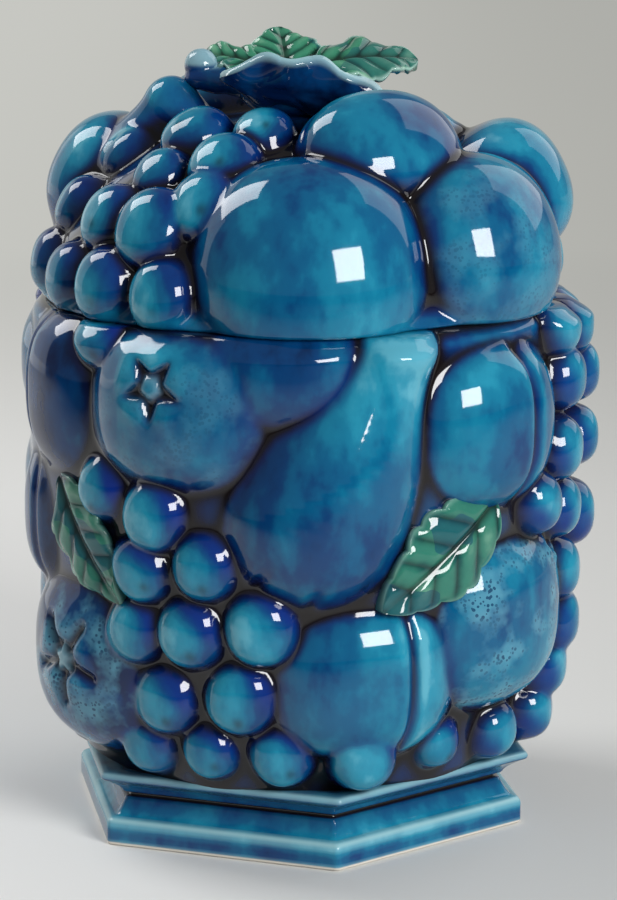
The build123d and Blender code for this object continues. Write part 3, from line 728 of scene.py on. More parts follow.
def jar_mesh(material):
    """Jar: hollow, rim, relief and the hexagonal foot."""
    columns = JAR_COLUMNS
    angle = np.linspace(0, 2 * math.pi, columns, endpoint=False)
    bottom = FOOT_HEIGHT - WALL_DIP
    rows = int((RIM_HEIGHT - bottom) / JAR_STEP)
    heights = np.linspace(bottom, RIM_HEIGHT, rows)
    level = np.stack([np.sin(angle), -np.cos(angle), 0 * angle], -1)
    rays = np.broadcast_to(level[:, None], (columns, rows, 3))
    starts = np.zeros((columns, rows, 3))
    starts[..., 2] = heights
    fill = VALLEY_FILL * smooth(RIM_HEIGHT, RIM_HEIGHT - 4, heights)
    ground = np.broadcast_to(wall_radius(heights) + fill, (columns, rows)).copy()
    height, facts = relief(starts, rays, ground, jar_fruits(), JAR_STEP)
    fade = 0.6 + 0.4 * smooth(RIM_HEIGHT, RIM_HEIGHT - RIM_FADE, heights)
    height = ground + fade * (height - ground)
    from_rim = np.clip(RIM_HEIGHT - heights, 0, RIM_ROUND)
    height = height - (RIM_ROUND - np.sqrt(RIM_ROUND**2 - (RIM_ROUND - from_rim) ** 2))
    outside = starts + height[..., None] * rays
    facts["cobalt"] = JAR_COBALT
    fields = glaze_fields(facts)
    # Pooled glaze with painted shade where the wall meets the foot.
    seam_pool_and_painted_shade = 0.9 * smooth(FOOT_HEIGHT + 2.5, FOOT_HEIGHT, heights)
    fields["pool"] = np.maximum(fields["pool"], seam_pool_and_painted_shade[None])
    inside = turned(hollow_profile(), columns)
    closing = [
        (WALL_FOOT_RADIUS - 5, FOOT_HEIGHT - 1.8),
        (WALL_FOOT_RADIUS - 8, 14.0),
        (HOLLOW_FLOOR_RADIUS + 4, 8.0),
        (POLE, 8.0),
    ]
    grid = np.concatenate([inside, outside.transpose(1, 0, 2)[::-1], turned(closing, columns)])
    total = len(grid)
    whole = no_fields((total, columns))
    for key, values in fields.items():
        whole[key][len(inside) : len(inside) + rows] = values.T[::-1]
    whole["inside"][: len(inside) - RIM_ROWS] = 1
    whole["thin"][len(inside) - RIM_ROWS : len(inside)] = 0.35
    faces = closed_faces(columns, total, flip=True)
    foot_points, foot_faces, foot_fields = foot_parts(total * columns)
    points = np.concatenate([grid.reshape(-1, 3), foot_points])
    joined = {key: np.concatenate([whole[key].ravel(), foot_fields[key]]) for key in ATTRIBUTES}
    return glazed(mesh_of("jar_relief", points, faces + foot_faces), joined, material)


def foot_row(half, height, thin, cobalt=0.0, pool=0.0, pale=0.0, bare=0.0):
    """Row of the foot: its half width or outline, its height, and its shares of glaze and bare clay."""
    return half, height, (thin, cobalt, pool, pale, bare)


def bare_row(half, height):
    """Row of the foot in bare clay."""
    return foot_row(half, height, 0.3, bare=1.0)


def foot_profile():
    """Rows of the foot from its underside up to the wall, with painted shade and highlights."""
    rows = [
        bare_row(PLINTH_HALF - PLINTH_ROUND, 0.0),
        bare_row(PLINTH_HALF - 1.0, 0.0),
        bare_row(PLINTH_HALF - 0.3, 0.3),
        foot_row(PLINTH_HALF, 0.9, 0.3, pale=0.1, bare=1.0),
        # The lower edge of the plinth is pale: thin glaze with a painted highlight.
        foot_row(PLINTH_HALF, 1.3, 0.60, pool=0.05, pale=0.25),
        foot_row(PLINTH_HALF, 2.2, 0.46, 0.1),
        foot_row(PLINTH_HALF, 3.5, 0.42, 0.1),
        foot_row(PLINTH_HALF, 5.0, 0.60),
    ]
    # The rounded top of the plinth is light and palest part way round: thin glaze with a painted highlight.
    for step in range(8):
        turn = math.radians(step * 90 / 7)
        half = PLINTH_HALF - PLINTH_ROUND + PLINTH_ROUND * math.cos(turn)
        height = PLINTH_HEIGHT - PLINTH_ROUND + PLINTH_ROUND * math.sin(turn)
        rows.append(foot_row(half, height, 0.85, pale=0.20 + 0.66 * bell(step - 3.2, 1.8)))
    # Into the cove the glaze darkens and pools: pooled glaze with painted shade.
    for share in np.linspace(0.12, 1, 9):
        half = PLINTH_HALF - PLINTH_ROUND + share * (COVE_HALF - PLINTH_HALF + PLINTH_ROUND)
        height = PLINTH_HEIGHT + share**1.7 * (GROOVE_HEIGHT - PLINTH_HEIGHT)
        rows.append(foot_row(half, height, 0.78 - 0.36 * share, 0.20 * share, 0.35 * share**3))
    groove_top = GROOVE_HEIGHT + GROOVE_WIDTH
    # The groove is almost black: pooled glaze with painted shade.
    rows += [
        foot_row(GROOVE_HALF + 0.3, GROOVE_HEIGHT + 0.1, 0.1, 0.2, 0.95),
        foot_row(GROOVE_HALF, GROOVE_HEIGHT + 0.4, 0.1, 0.1, 1.0),
        foot_row(GROOVE_HALF, groove_top - 0.4, 0.1, 0.1, 1.0),
        foot_row(GROOVE_HALF + 0.5, groove_top, 0.1, 0.1, 0.95),
        foot_row(BAND_HALF - 0.4, groove_top + 0.1, 0.2, 0.2, 0.7),
    ]
    band_low, band_top = groove_top + 0.4, FOOT_HEIGHT - CORNICE_LIP
    for share in np.linspace(0, 1, 8):
        half = BAND_HALF + share**1.5 * (CORNICE_HALF - 0.6 - BAND_HALF)
        height = band_low + share * (band_top - band_low)
        # Darker at the top of the band, under the cornice lip: pooled glaze with painted shade.
        dark = 0.55 * bell(share - 1.0, 0.25)
        rows.append(foot_row(half, height, 0.36 + 0.30 * share, 0.15, dark, 0.10 * share))
    # Still darker under the lip, then pale along the cornice's edge: thin glaze with a painted highlight.
    rows += [
        foot_row(CORNICE_HALF - 0.2, band_top + 0.3, 0.4, 0.1, 0.2),
        foot_row(CORNICE_HALF, band_top + 0.8, 0.5, pale=0.3),
        foot_row(CORNICE_HALF - 0.1, FOOT_HEIGHT - 0.8, 0.55, pale=0.55),
        foot_row(CORNICE_HALF - 0.5, FOOT_HEIGHT - 0.25, 0.6, pale=0.7),
        foot_row(CORNICE_HALF - 1.2, FOOT_HEIGHT, 0.62, pale=0.45),
        foot_row(CORNICE_HALF - 2.6, FOOT_HEIGHT, 0.6, pale=0.15),
        foot_row(CORNICE_HALF - 5.5, FOOT_HEIGHT, 0.55, pale=0.05),
    ]
    return rows


def heading(turn):
    """Level direction, turned in radians from the front towards the right."""
    return toward(turn)[:2]


def hexagon(half, corner):
    """Outline of a hexagon by half its width across flats, with rounded corners, one corner to the front."""
    reach_out = (half - corner) / math.cos(math.pi / 6)
    points = []
    for side in range(6):
        aim = math.radians(60 * side)
        middle, onward = reach_out * heading(aim), reach_out * heading(aim + math.radians(60))
        for turn in np.radians(np.linspace(-30, 30, FOOT_CORNER_STEPS)):
            points.append(middle + corner * heading(aim + turn))
        outward = corner * heading(aim + math.radians(30))
        for share in np.linspace(0, 1, FOOT_SIDE_STEPS + 1)[1:-1]:
            points.append(middle * (1 - share) + onward * share + outward)
    return np.array(points)


def foot_parts(first):
    """Points, faces and glaze shares of the hexagonal foot with its recessed underside."""
    bearing = hexagon(1.0, 0.02)
    turn = np.arctan2(bearing[:, 0], -bearing[:, 1])
    circle = np.column_stack([np.sin(turn), -np.cos(turn)])
    columns = len(circle)
    rings = [
        bare_row(POLE * circle, RECESS_DEPTH),
        bare_row((RECESS_RADIUS - 0.8) * circle, RECESS_DEPTH),
        bare_row(RECESS_RADIUS * circle, RECESS_DEPTH - 0.6),
        bare_row(RECESS_RADIUS * circle, 0.6),
        bare_row((RECESS_RADIUS + 0.6) * circle, 0.0),
    ]
    rings += [(hexagon(half, CORNER_ROUND), height, glaze) for half, height, glaze in foot_profile()]
    rings += [
        # Pooled glaze with painted shade where the foot meets the wall.
        foot_row((WALL_FOOT_RADIUS - 4.0) * circle, FOOT_HEIGHT - 0.9, 0.45, 0.2, 0.6),
        foot_row((WALL_FOOT_RADIUS - 9.5) * circle, 13.5, 0.0),
        foot_row((HOLLOW_FLOOR_RADIUS + 2) * circle, 9.5, 0.0),
        foot_row(POLE * circle, 9.5, 0.0),
    ]
    points = [np.column_stack([outline, np.full(columns, height)]) for outline, height, glaze in rings]
    fields = no_fields(columns * len(rings))
    for column, key in enumerate(("thin", "cobalt", "pool", "pale", "bare")):
        fields[key] = np.repeat([glaze[column] for outline, height, glaze in rings], columns)
    return np.concatenate(points), closed_faces(columns, len(rings), first), fields


def dome_arcs(radius, rise, shoulder):
    """How far from the axis the middle of a dome's shoulder lies, and the radius of the dome's crown."""
    inward = radius - shoulder
    return inward, (inward**2 + rise**2 - shoulder**2) / (2 * (rise - shoulder))


def lid_ground(climb):
    """Distance from the middle of the seat to the bare dome and its lip, by the climb of the ray."""
    inward, crown = dome_arcs(DOME_RADIUS, DOME_RISE, SHOULDER_RADIUS)
    below = crown - DOME_RISE
    shoulder = inward * np.cos(climb) + np.sqrt(SHOULDER_RADIUS**2 - (inward * np.sin(climb)) ** 2)
    top = -below * np.sin(climb) + np.sqrt(crown**2 - (below * np.cos(climb)) ** 2)
    span = math.hypot(inward, below)
    join = math.atan2(crown * below / span - below, crown * inward / span)
    slope = (RIM_RADIUS - DOME_RADIUS) / LIP_HEIGHT
    lip = RIM_RADIUS / (np.cos(climb) + slope * np.sin(climb))
    fill = LID_FILL * smooth(0.02, 0.14, climb) * smooth(1.3, 0.9, climb)
    dome = np.where(climb < join, shoulder, top) + fill
    return np.where(climb < LIP_CLIMB, blend(dome, lip, LIP_FILLET), dome)


def lid_inside():
    """Underside of the lid from the seat in, down the flange and up into the hollow."""
    low = LID_SEAT - FLANGE_DEPTH + FLANGE_ROUND
    profile = [(FLANGE_RADIUS + 1.2, LID_SEAT), (FLANGE_RADIUS, LID_SEAT - 1.0), (FLANGE_RADIUS, low)]
    profile += arc((FLANGE_RADIUS - FLANGE_ROUND, low), FLANGE_ROUND, 0, -90, 5)
    profile += arc((LID_HOLLOW_RADIUS + FLANGE_ROUND, low), FLANGE_ROUND, -90, -180, 5)
    shoulder = SHOULDER_RADIUS - LID_WALL
    rise = DOME_RISE - LID_WALL
    inward, crown = dome_arcs(LID_HOLLOW_RADIUS, rise, shoulder)
    turn = math.degrees(math.atan2(crown - rise, inward))
    profile += arc((inward, LID_SEAT), shoulder, 0, turn, 16)
    profile += arc((0, LID_SEAT + rise - crown), crown, turn, 89.5, 16)[1:]
    return profile


def lid_mesh(material):
    """Lid: relief over the dome, lip, flange and hollow."""
    columns, rows = LID_COLUMNS, LID_ROWS
    angle = np.linspace(0, 2 * math.pi, columns, endpoint=False)[:, None]
    climb = np.linspace(0, math.radians(89.4), rows)
    aside = np.cos(climb)
    rays = np.stack([np.sin(angle) * aside, -np.cos(angle) * aside, np.sin(climb) + 0 * angle], -1)
    starts = np.broadcast_to(np.array([0, 0, LID_SEAT]), (columns, rows, 3))
    ground = np.broadcast_to(lid_ground(climb), (columns, rows)).copy()
    height, facts = relief(starts, rays, ground, lid_fruits(), LID_STEP)
    drop = np.clip(RIM_ROUND - height * np.sin(climb), 0, RIM_ROUND)
    height = height - (RIM_ROUND - np.sqrt(RIM_ROUND**2 - drop**2))
    outside = starts + height[..., None] * rays
    facts["cobalt"] = LID_COBALT
    fields = glaze_fields(facts)
    lip = smooth(0.10, 0.03, climb)
    fields["pool"] = fields["pool"] * (1 - lip)
    fields["cobalt"] = fields["cobalt"] * (1 - 0.7 * lip)
    fields["thin"] = np.maximum(fields["thin"], 0.58 * lip)
    inside = turned(lid_inside(), columns)
    grid = np.concatenate([inside[::-1], outside.transpose(1, 0, 2)])
    whole = no_fields((len(grid), columns))
    for key, values in fields.items():
        whole[key][len(inside) :] = values.T
    whole["inside"][: len(inside) - 1] = 1
    mesh = mesh_of("lid_relief", grid.reshape(-1, 3), closed_faces(columns, len(grid)))
    return glazed(mesh, whole, material)


# Leaves on the jar: turn, share of the way up, turn from the right, length, width, stand-off, sink of the top
JAR_LEAVES = {
    "leaf_right": (22, 52, 216, 50.0, 28.0, 8.0, 1.6),
    "leaf_left": (-59, 53, -50, 46.0, 23.0, 5.0, -1.2),
}

# Radius that the leaves bend to, share of a jar leaf's length that shows, and thickness of a finial leaf
JAR_LEAF_BEND = 85.0
JAR_LEAF_SHOWN = 0.96
FINIAL_LEAF_BEND = 55.0
FINIAL_LEAF_THICKNESS = 3.2

# Finial leaves: turn, reach from the axis, rise over the crown, bearing, pitch, bank, length, width
FINIAL_LEAVES = {
    "finial_front_leaf": (4, 17.5, 11.5, 78, -7, 48, 52.0, 22.0),
    "finial_back_leaf": (-169, 8.5, 16.5, 180, 45, 0, 22.0, 27.0),
    "finial_right_leaf": (95, 22.0, 16.5, 95, 0, -24, 32.0, 24.0),
    "finial_small_leaf": (-115, 20.0, 16.5, -112, 8, 22, 22.0, 16.0),
}

# Looks of the leaves: height of the waves in the edge, how pale the edge is, blue in the glaze, and how full
# the underside is
JAR_LEAF_LOOK = dict(ruffle=1.0, edge_pale=0.22, blue=0.32)
FRONT_LEAF_LOOK = dict(ruffle=1.5, edge_pale=1.0, belly=4.0)
FINIAL_LEAF_LOOK = dict(ruffle=1.2, edge_pale=0.8)

# Points of a leaf's mesh along and across it, lobes on each edge, and side veins
LEAF_ALONG = 110
LEAF_ACROSS = 61
LEAF_LOBES = 6
LEAF_VEINS = 5.2


def two_faced(field):
    """Field over both faces of a leaf, weaker on the underside."""
    return np.concatenate([field.ravel(), 0.4 * field.ravel()])


def leaf_mesh(
    name, place, size, bend, thickness, material, ruffle, edge_pale, belly=0.0, sink=0.0, blue=0.0
):
    """Leaf with soft lobes, a grooved midrib, side veins with swollen pads, and a flat or full underside."""
    (middle, axes), (length, width) = place, size
    share = np.linspace(0.004, 0.996, LEAF_ALONG)[:, None]
    across = np.linspace(-1, 1, LEAF_ACROSS)[None, :]
    outline = width / 2 * np.sin(math.pi * share**0.85) ** 0.8
    lobe = np.abs(np.sin(math.pi * share * LEAF_LOBES)) ** 0.7
    notch = (0.05 if belly else 0.13) * (1 - lobe)
    x = (share - 0.5) * length + 0 * across
    y = across * outline * (1 - notch * np.abs(across) ** 4)
    vein = (x - 0.75 * np.abs(y)) * LEAF_VEINS / length + 0.5
    pad = np.sin(math.pi * (vein % 1)) ** 0.8
    margin = smooth(1.0, 0.72, np.abs(across)) + 0 * x
    midrib = bell(y, 1.1) * (1 - share**4)
    flat_end, waves = (3.0, 3.2) if belly else (1.0, 2.5)
    droop = -(np.maximum(x, 0) ** 2 + np.minimum(x, 0) ** 2 / flat_end + y**2) / (2 * bend)
    droop = droop + ruffle * np.sin(2 * math.pi * share * waves) * across**2 * np.sign(across)
    swell = pad * margin * smooth(0.5, 3.5, np.abs(y))
    rise = droop - 0.8 * (1 - swell) - 0.9 * midrib - sink
    under = rise - thickness * (0.35 + 0.65 * margin)
    groove = np.clip(midrib + 0.8 * (1 - pad) ** 2 * margin, 0, 1)
    thin = 0.35 + 0.3 * pad
    if belly:
        full = (1 - across**2) * (1 - (2 * share - 1) ** 4)
        under = droop - 0.8 - 0.7 * thickness - belly * full - 0.5 * swell * full
        groove = 0 * groove
        thin = 0.20 + 0.2 * pad
    edge = np.abs(across) ** 12
    low = np.stack([x * (1 - 0.01 * edge), y * (1 - 0.02 * edge), under], -1)
    sheet = np.concatenate([np.stack([x, y, rise], -1).reshape(-1, 3), low.reshape(-1, 3)])
    count = LEAF_ALONG * LEAF_ACROSS
    index = np.arange(count).reshape(LEAF_ALONG, LEAF_ACROSS)
    quads = np.stack([index[:-1, :-1], index[1:, :-1], index[1:, 1:], index[:-1, 1:]], -1).reshape(-1, 4)
    border = np.concatenate([index[0, :-1], index[:-1, -1], index[-1, :0:-1], index[:0:-1, 0]])
    following = np.roll(border, -1)
    sides = np.stack([border, following, following + count, border + count], -1)
    faces = np.concatenate([quads, quads[:, ::-1] + count, sides]).tolist()
    rim = 1 - smooth(1.0, 0.86, np.abs(across)) + 0 * x
    fields = no_fields(
        2 * count,
        pool=two_faced(0.85 * groove),
        thin=two_faced(thin),
        pale=two_faced(edge_pale * rim),
        cobalt=blue,
    )
    return glazed(mesh_of(name, middle + sheet @ axes, faces), fields, material)


def jar_leaves():
    """Name, place, length and width, thickness and sink of each leaf sprig on the jar."""
    for name, (around, up, turn, length, width, stand_off, sink) in JAR_LEAVES.items():
        for half, extra in (("front", 0), ("back", BACK_TURN)):
            place = wall_spot(around + extra, up, stand_off, -turn)
            yield f"{half}_{name}", place, (JAR_LEAF_SHOWN * length, width), stand_off, sink


def finial_place(around, reach_out, rise, bearing, pitch, bank):
    """Middle and rows along, across and up of a finial leaf."""
    turn, aim, climb, roll = (math.radians(angle) for angle in (around, bearing, pitch, bank))
    middle = reach_out * toward(turn) + np.array([0, 0, CROWN + rise])
    along = toward(aim, climb)
    over = toward(aim, climb + math.pi / 2)
    across = np.cross(over, along)
    across, over = (
        math.cos(roll) * across - math.sin(roll) * over,
        math.sin(roll) * across + math.cos(roll) * over,
    )
    return middle, np.array([along, across, over])


# Finial core: a flat ball, and a stem from it to a bud in a cup, both of which hang a little below the line
CORE_GIRTH = 34.0
CORE_HEIGHT = 17.0
CORE_RISE = 6.0
STEM_RADIUS = 7.0
STEM_TIP_RADIUS = 3.4
STEM_SAG = 3.0
BUD_RADIUS = 5.0
BUD_REACH = 28.0
BUD_RISE = 13.0
BUD_TURN = -104.0
CUP_RADIUS = 6.2
CUP_HALF_HEIGHT = 3.8
CUP_SAG = 3.4
BALL_ROWS = 16
BALL_COLUMNS = 32


def core_mesh(material):
    """Stem end with a round bud in its cup, melted into one glazed form."""
    bud = BUD_REACH * toward(math.radians(BUD_TURN)) + np.array([0, 0, CROWN + BUD_RISE])
    heart = np.array([0, 0, CROWN + CORE_RISE])
    balls = [(heart, (CORE_GIRTH / 2, CORE_GIRTH / 2, CORE_HEIGHT / 2))]
    for share in np.linspace(0.15, 0.95, 14):
        girth = STEM_RADIUS + share * (STEM_TIP_RADIUS - STEM_RADIUS)
        spot = heart + share * (bud - heart) - np.array([0, 0, STEM_SAG * share])
        balls.append((spot, (girth, girth, girth)))
    for share in (0.80, 0.88, 0.96):
        cup = heart + share * (bud - heart) - np.array([0, 0, CUP_SAG])
        balls.append((cup, (CUP_RADIUS, CUP_RADIUS, CUP_HALF_HEIGHT)))
    balls.append((bud, (BUD_RADIUS, BUD_RADIUS, BUD_RADIUS)))
    latitude = np.linspace(-math.pi / 2 + 0.05, math.pi / 2 - 0.05, BALL_ROWS)
    shell = turned(np.column_stack([np.cos(latitude), np.sin(latitude)]), BALL_COLUMNS).reshape(-1, 3)
    points, faces = [], []
    for number, (middle, half) in enumerate(balls):
        points.append(shell * np.array(half) + middle)
        faces += closed_faces(BALL_COLUMNS, BALL_ROWS, number * len(shell))
    blank = placed("finial_core_blank", mesh_of("finial_core_blank", np.concatenate(points), faces))
    melt = blank.modifiers.new("melt", "REMESH")
    melt.mode = "VOXEL"
    melt.voxel_size = 0.55 * MM
    ease = blank.modifiers.new("ease", "SMOOTH")
    ease.factor = 0.5
    ease.iterations = 6
    shaped = bpy.data.meshes.new_from_object(blank.evaluated_get(bpy.context.evaluated_depsgraph_get()))
    bpy.data.objects.remove(blank)
    shaped.name = "finial_core_glaze"
    place = np.zeros(3 * len(shaped.vertices))
    shaped.vertices.foreach_get("co", place)
    place = place.reshape(-1, 3) / MM
    from_bud = np.linalg.norm(place - bud, axis=1)
    above = place[:, 2] - bud[2]
    pale = 0.85 * smooth(BUD_RADIUS + 0.5, BUD_RADIUS - 0.3, from_bud) * smooth(-0.5, 1.0, above)
    in_cup = (from_bud < CUP_RADIUS + 0.6) * (from_bud > BUD_RADIUS + 0.1)
    ring = 0.8 * bell(above - 0.1, 0.7) * in_cup
    fields = no_fields(len(place), thin=0.35, cobalt=0.3, pale=np.maximum(pale, ring))
    return glazed(shaped, fields, material)


class Nodes:
    """Short way to lay out a material's nodes."""

    def __init__(self, name):
        self.material = bpy.data.materials.new(name)
        self.material.use_nodes = True
        self.tree = self.material.node_tree
        self.shader = self.tree.nodes["Principled BSDF"]

    def add(self, kind, **values):
        node = self.tree.nodes.new(kind)
        for key, value in values.items():
            setattr(node, key, value)
        return node

    def link(self, source, target):
        self.tree.links.new(source, target)

    def attribute(self, name):
        return self.add("ShaderNodeAttribute", attribute_name=name).outputs["Fac"]

    def math(self, operation, one, two, clamp=False):
        node = self.add("ShaderNodeMath", operation=operation, use_clamp=clamp)
        for socket, value in zip(node.inputs, (one, two)):
            if isinstance(value, (int, float)):
                socket.default_value = value
            else:
                self.link(value, socket)
        return node.outputs[0]

    def noise(self, scale, detail, stretch=(1, 1, 1)):
        mapping = self.add("ShaderNodeMapping")
        mapping.inputs["Scale"].default_value = stretch
        self.link(self.add("ShaderNodeTexCoord").outputs["Object"], mapping.inputs["Vector"])
        texture = self.add("ShaderNodeTexNoise")
        texture.inputs["Scale"].default_value = scale
        texture.inputs["Detail"].default_value = detail
        self.link(mapping.outputs["Vector"], texture.inputs["Vector"])
        return texture.outputs["Fac"]

    def spots(self, scale):
        texture = self.add("ShaderNodeTexVoronoi")
        texture.inputs["Scale"].default_value = scale
        self.link(self.add("ShaderNodeTexCoord").outputs["Object"], texture.inputs["Vector"])
        return texture.outputs["Distance"]

    def ramp(self, source, stops):
        node = self.add("ShaderNodeValToRGB")
        node.color_ramp.interpolation = "EASE"
        elements = node.color_ramp.elements
        for index, (place, colour) in enumerate(stops):
            element = elements[index] if index < 2 else elements.new(place)
            element.position = place
            element.color = (*colour, 1)
        self.link(source, node.inputs["Fac"])
        return node.outputs["Color"]

    def mix(self, share, one, two):
        node = self.add("ShaderNodeMix", data_type="RGBA")
        self.link(share, node.inputs["Factor"])
        for socket, value in ((node.inputs[6], one), (node.inputs[7], two)):
            if isinstance(value, tuple):
                socket.default_value = (*value, 1)
            else:
                self.link(value, socket)
        return node.outputs[2]


# Finish of the glazes, and colours that are laid over their own: cobalt, stippling and its pores, pooled
# glaze, also painted shade on the foot and at its join with the wall, thin edges, also painted highlights
# on the foot, the glaze inside and the bare clay, then blue, pooled glaze and thin edges on the green
GLAZE_ROUGHNESS = 0.06
GLAZE_IOR = 1.5
COBALT = (0.002, 0.022, 0.190)
STIPPLE = (0.110, 0.340, 0.450)
PORE = (0.003, 0.030, 0.095)
POOLED_AND_PAINTED_SHADE = (0.007, 0.005, 0.005)
THIN_EDGE_AND_PAINTED_HIGHLIGHT = (0.330, 0.560, 0.600)
INSIDE = (0.720, 0.700, 0.640)
CLAY = (0.740, 0.690, 0.610)
BLED_BLUE = (0.004, 0.070, 0.120)
GREEN_POOLED = (0.008, 0.014, 0.010)
GREEN_THIN_EDGE = (0.380, 0.600, 0.520)

# Own colours of the glazes, from where they lie thick to where they lie thin: both ends first
BLUE_STOPS = [
    (0.0, (0.001, 0.012, 0.060)),
    (1.0, (0.090, 0.380, 0.500)),
    (0.25, (0.001, 0.042, 0.150)),
    (0.45, (0.002, 0.098, 0.220)),
    (0.65, (0.006, 0.175, 0.300)),
    (0.82, (0.016, 0.255, 0.385)),
]
GREEN_STOPS = [
    (0.0, (0.003, 0.040, 0.036)),
    (1.0, (0.210, 0.470, 0.300)),
    (0.35, (0.008, 0.105, 0.070)),
    (0.65, (0.045, 0.240, 0.140)),
]


def glaze(name):
    """Nodes of a thick, glass-like glaze."""
    nodes = Nodes(name)
    nodes.shader.inputs["Roughness"].default_value = GLAZE_ROUGHNESS
    nodes.shader.inputs["IOR"].default_value = GLAZE_IOR
    return nodes


def blue_glaze():
    """Teal to cobalt glaze, thin and light on the crests, pooled brown-black in the valleys."""
    nodes = glaze("blue_glaze")
    cloud = nodes.noise(45, 4.0)
    streak = nodes.noise(70, 3.0, (1, 1, 0.22))
    fine = nodes.math("MULTIPLY", nodes.math("SUBTRACT", nodes.noise(190, 4.0, (1, 1, 0.6)), 0.5), 0.45)
    waver = nodes.math("ADD", nodes.math("MULTIPLY", cloud, 0.80), nodes.math("MULTIPLY", streak, 0.70))
    level = nodes.math("ADD", nodes.attribute("thin"), nodes.math("SUBTRACT", waver, 0.77))
    body = nodes.ramp(nodes.math("ADD", level, fine, True), BLUE_STOPS)
    blotch = nodes.math("MULTIPLY", nodes.attribute("cobalt"), nodes.math("ADD", cloud, 0.35), True)
    body = nodes.mix(blotch, body, COBALT)
    patchy = nodes.math("MULTIPLY", nodes.math("SUBTRACT", nodes.noise(95, 3.0), 0.44), 5.0, True)
    mottle = nodes.math("MULTIPLY", patchy, nodes.attribute("mottle"))
    body = nodes.mix(nodes.math("MULTIPLY", mottle, 0.70), body, STIPPLE)
    ragged = nodes.math("MULTIPLY", nodes.noise(260, 3.0), 0.72)
    pores = nodes.math("MULTIPLY", nodes.math("LESS_THAN", nodes.spots(760), ragged), mottle)
    body = nodes.mix(nodes.math("MULTIPLY", pores, 0.8), body, PORE)
    # Pooled glaze and thin edges carry the foot's painted shade and highlights as well.
    for share, colour in (("pool", POOLED_AND_PAINTED_SHADE), ("pale", THIN_EDGE_AND_PAINTED_HIGHLIGHT), ("inside", INSIDE), ("bare", CLAY)):
        body = nodes.mix(nodes.attribute(share), body, colour)
    nodes.link(body, nodes.shader.inputs["Base Color"])
    return nodes.material


def green_glaze():
    """Green glaze, dark in the veins and pale on the edges, with blue bled in at places."""
    nodes = glaze("green_glaze")
    cloud = nodes.noise(80, 4.0)
    level = nodes.math("ADD", nodes.attribute("thin"), nodes.math("SUBTRACT", cloud, 0.45), True)
    body = nodes.ramp(level, GREEN_STOPS)
    bled = nodes.math("MULTIPLY", nodes.math("GREATER_THAN", nodes.noise(55, 2.0), 0.56), 0.45)
    bled = nodes.math("ADD", bled, nodes.attribute("cobalt"), True)
    body = nodes.mix(bled, body, BLED_BLUE)
    for share, colour in (("pool", GREEN_POOLED), ("pale", GREEN_THIN_EDGE)):
        body = nodes.mix(nodes.attribute(share), body, colour)
    nodes.link(body, nodes.shader.inputs["Base Color"])
    return nodes.material


def dress(piece, body, node):
    """Says what a piece moves with and stands for."""
    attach(piece, body)
    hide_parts(node)


blue = blue_glaze()
green = green_glaze()
dress(jar_mesh(blue), "jar", "jar")
dress(lid_mesh(blue), "lid", "lid")
dress(core_mesh(blue), "lid", "finial_core")
for name, place, size, thickness, sink in jar_leaves():
    leaf = leaf_mesh(
        f"{name}_glaze", place, size, JAR_LEAF_BEND, thickness, green, sink=sink, **JAR_LEAF_LOOK
    )
    dress(leaf, "jar", name)
for name, (*spot, length, width) in FINIAL_LEAVES.items():
    place, size = finial_place(*spot), (length, width)
    material, slot, look = green, "green_glaze", FINIAL_LEAF_LOOK
    if name == "finial_front_leaf":
        material, slot, look = blue, "blue_glaze", FRONT_LEAF_LOOK
    leaf = leaf_mesh(
        f"{name}_glaze", place, size, FINIAL_LEAF_BEND, FINIAL_LEAF_THICKNESS, material, **look
    )
    dress(leaf, "lid", name)


# Stage: a pale sweep that rises behind the canister
def graded_paper():
    """Backdrop paper, pale under and behind the canister and graded to grey towards the camera."""
    nodes = Nodes("graded_paper")
    nodes.shader.inputs["Roughness"].default_value = 0.8
    place = nodes.add("ShaderNodeSeparateXYZ")
    nodes.link(nodes.add("ShaderNodeTexCoord").outputs["Object"], place.inputs["Vector"])
    # Towards the camera the paper turns near black, a painted shade that the glaze reflects.
    ahead = nodes.math("ADD", nodes.math("MULTIPLY", place.outputs["Y"], 2.5), 1.3, True)
    # From left to right the paper is painted from pale to grey: painted light, brightest on the left.
    aside = nodes.math("ADD", nodes.math("MULTIPLY", place.outputs["X"], 1.6), 0.5, True)
    near = nodes.ramp(aside, [(0.0, (0.940, 0.938, 0.920)), (1.0, (0.580, 0.580, 0.558))])
    back = nodes.ramp(aside, [(0.0, (0.900, 0.898, 0.870)), (1.0, (0.660, 0.660, 0.632))])
    behind = nodes.math("ADD", nodes.math("MULTIPLY", place.outputs["Y"], 1.5), -0.1, True)
    pale = nodes.mix(behind, near, back)
    colour = nodes.mix(ahead, (0.060, 0.060, 0.060), pale)
    nodes.link(colour, nodes.shader.inputs["Base Color"])
    path = nodes.add("ShaderNodeLightPath").outputs
    seen = nodes.math("MAXIMUM", path["Is Camera Ray"], path["Is Glossy Ray"])
    seen = nodes.math("MAXIMUM", seen, path["Is Transmission Ray"])
    # Far behind, camera, glossy and transmission rays see the paper glow, greyer to the right: a painted
    # glow.
    remote = nodes.math("SUBTRACT", nodes.math("MULTIPLY", place.outputs["Y"], 1.5), 0.6, True)
    painted_glow = nodes.add("ShaderNodeEmission")
    distant = nodes.ramp(aside, [(0.0, (0.570, 0.573, 0.540)), (1.0, (0.425, 0.427, 0.400))])
    nodes.link(distant, painted_glow.inputs["Color"])
    both = nodes.add("ShaderNodeMixShader")
    nodes.link(nodes.math("MULTIPLY", seen, remote), both.inputs["Fac"])
    nodes.link(nodes.shader.outputs["BSDF"], both.inputs[1])
    nodes.link(painted_glow.outputs["Emission"], both.inputs[2])
    nodes.link(both.outputs["Shader"], nodes.tree.nodes["Material Output"].inputs["Surface"])
    return nodes.material


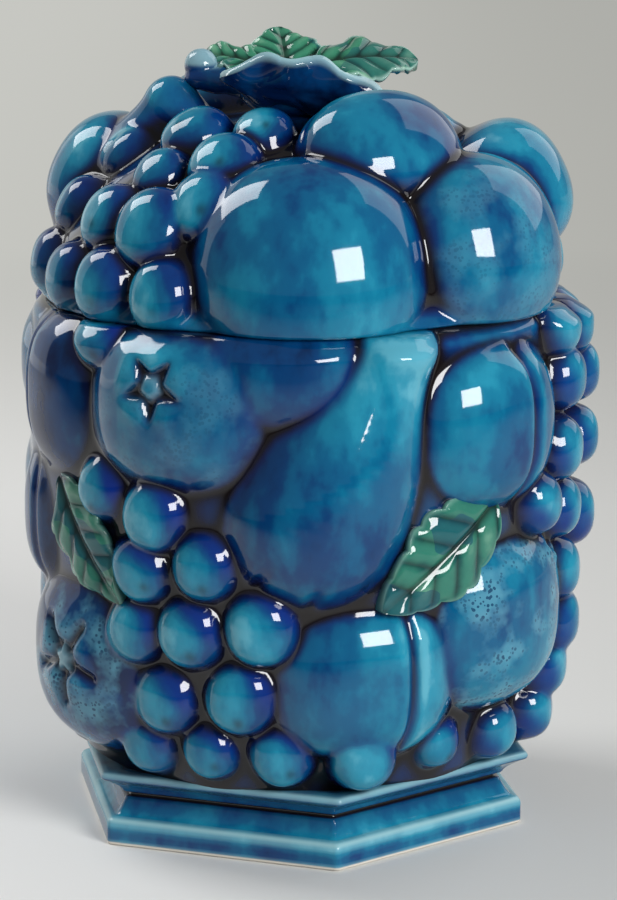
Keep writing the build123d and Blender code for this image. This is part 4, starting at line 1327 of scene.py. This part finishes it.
def sweep():
    """Floor that curves up into a backdrop."""
    half, near, far, radius, top = 4.5, -4.5, 5.0, 1.2, 3.0
    line = [(near, 0.0), (0.0, 0.0), (far - radius, 0.0)]
    for step in range(1, 17):
        turn = math.radians(90 * step / 16)
        line.append((far - radius + radius * math.sin(turn), radius - radius * math.cos(turn)))
    line.append((far, top))
    points = [(x, y, z) for y, z in line for x in (-half, half)]
    faces = [(2 * i, 2 * i + 1, 2 * i + 3, 2 * i + 2) for i in range(len(line) - 1)]
    mesh = bpy.data.meshes.new("sweep")
    mesh.from_pydata(points, [], faces)
    mesh.polygons.foreach_set("use_smooth", np.full(len(mesh.polygons), True))
    mesh.materials.append(graded_paper())
    made = placed("sweep", mesh)
    made.rotation_euler = (0, 0, math.radians(-VIEW_TURN))


# Camera, as the photograph was taken, and the place that the lights face
VIEW_TURN = 9.75
VIEW_PITCH = 12.145
EYE = Vector((-0.1792, -1.0650, 0.3416))
LENS = 146.9
LIGHT_AIM = Vector((0, 0, 0.12))


def camera():
    """Camera at the photograph's viewing angle."""
    data = bpy.data.cameras.new("camera")
    data.lens = LENS
    data.sensor_width = 36.0
    data.clip_start, data.clip_end = 0.05, 30
    made = placed("camera", data)
    ahead = Vector(-toward(math.radians(-VIEW_TURN), math.radians(VIEW_PITCH)))
    made.location = EYE
    made.rotation_euler = ahead.to_track_quat("-Z", "Y").to_euler()
    bpy.context.scene.camera = made


def softbox(name, around, climb, distance, width, tall, power):
    """Rectangular light on the canister, round to the right of the camera and above the table."""
    data = bpy.data.lights.new(name, "AREA")
    data.shape = "RECTANGLE"
    data.size, data.size_y = width, tall
    data.energy = power
    made = placed(name, data)
    out = Vector(toward(math.radians(around - VIEW_TURN), math.radians(climb)))
    made.location = LIGHT_AIM + distance * out
    made.rotation_euler = (-out).to_track_quat("-Z", "Y").to_euler()


def surroundings():
    """Even pale light from all round."""
    world = bpy.data.worlds.new("room")
    world.use_nodes = True
    world.node_tree.nodes["Background"].inputs["Color"].default_value = (0.95, 0.96, 1.0, 1)
    world.node_tree.nodes["Background"].inputs["Strength"].default_value = 0.18
    bpy.context.scene.world = world


sweep()
camera()
softbox("key", 34, 20, 1.1, 0.46, 0.40, 11.0)
softbox("right", 126, 36, 1.1, 0.80, 0.90, 3.0)
softbox("left_panel", -125, 14, 1.2, 1.00, 1.00, 2.2)
softbox("back_left", -118, 48, 1.1, 0.45, 0.60, 6.0)
surroundings()
bpy.context.scene.view_settings.view_transform = "Standard"
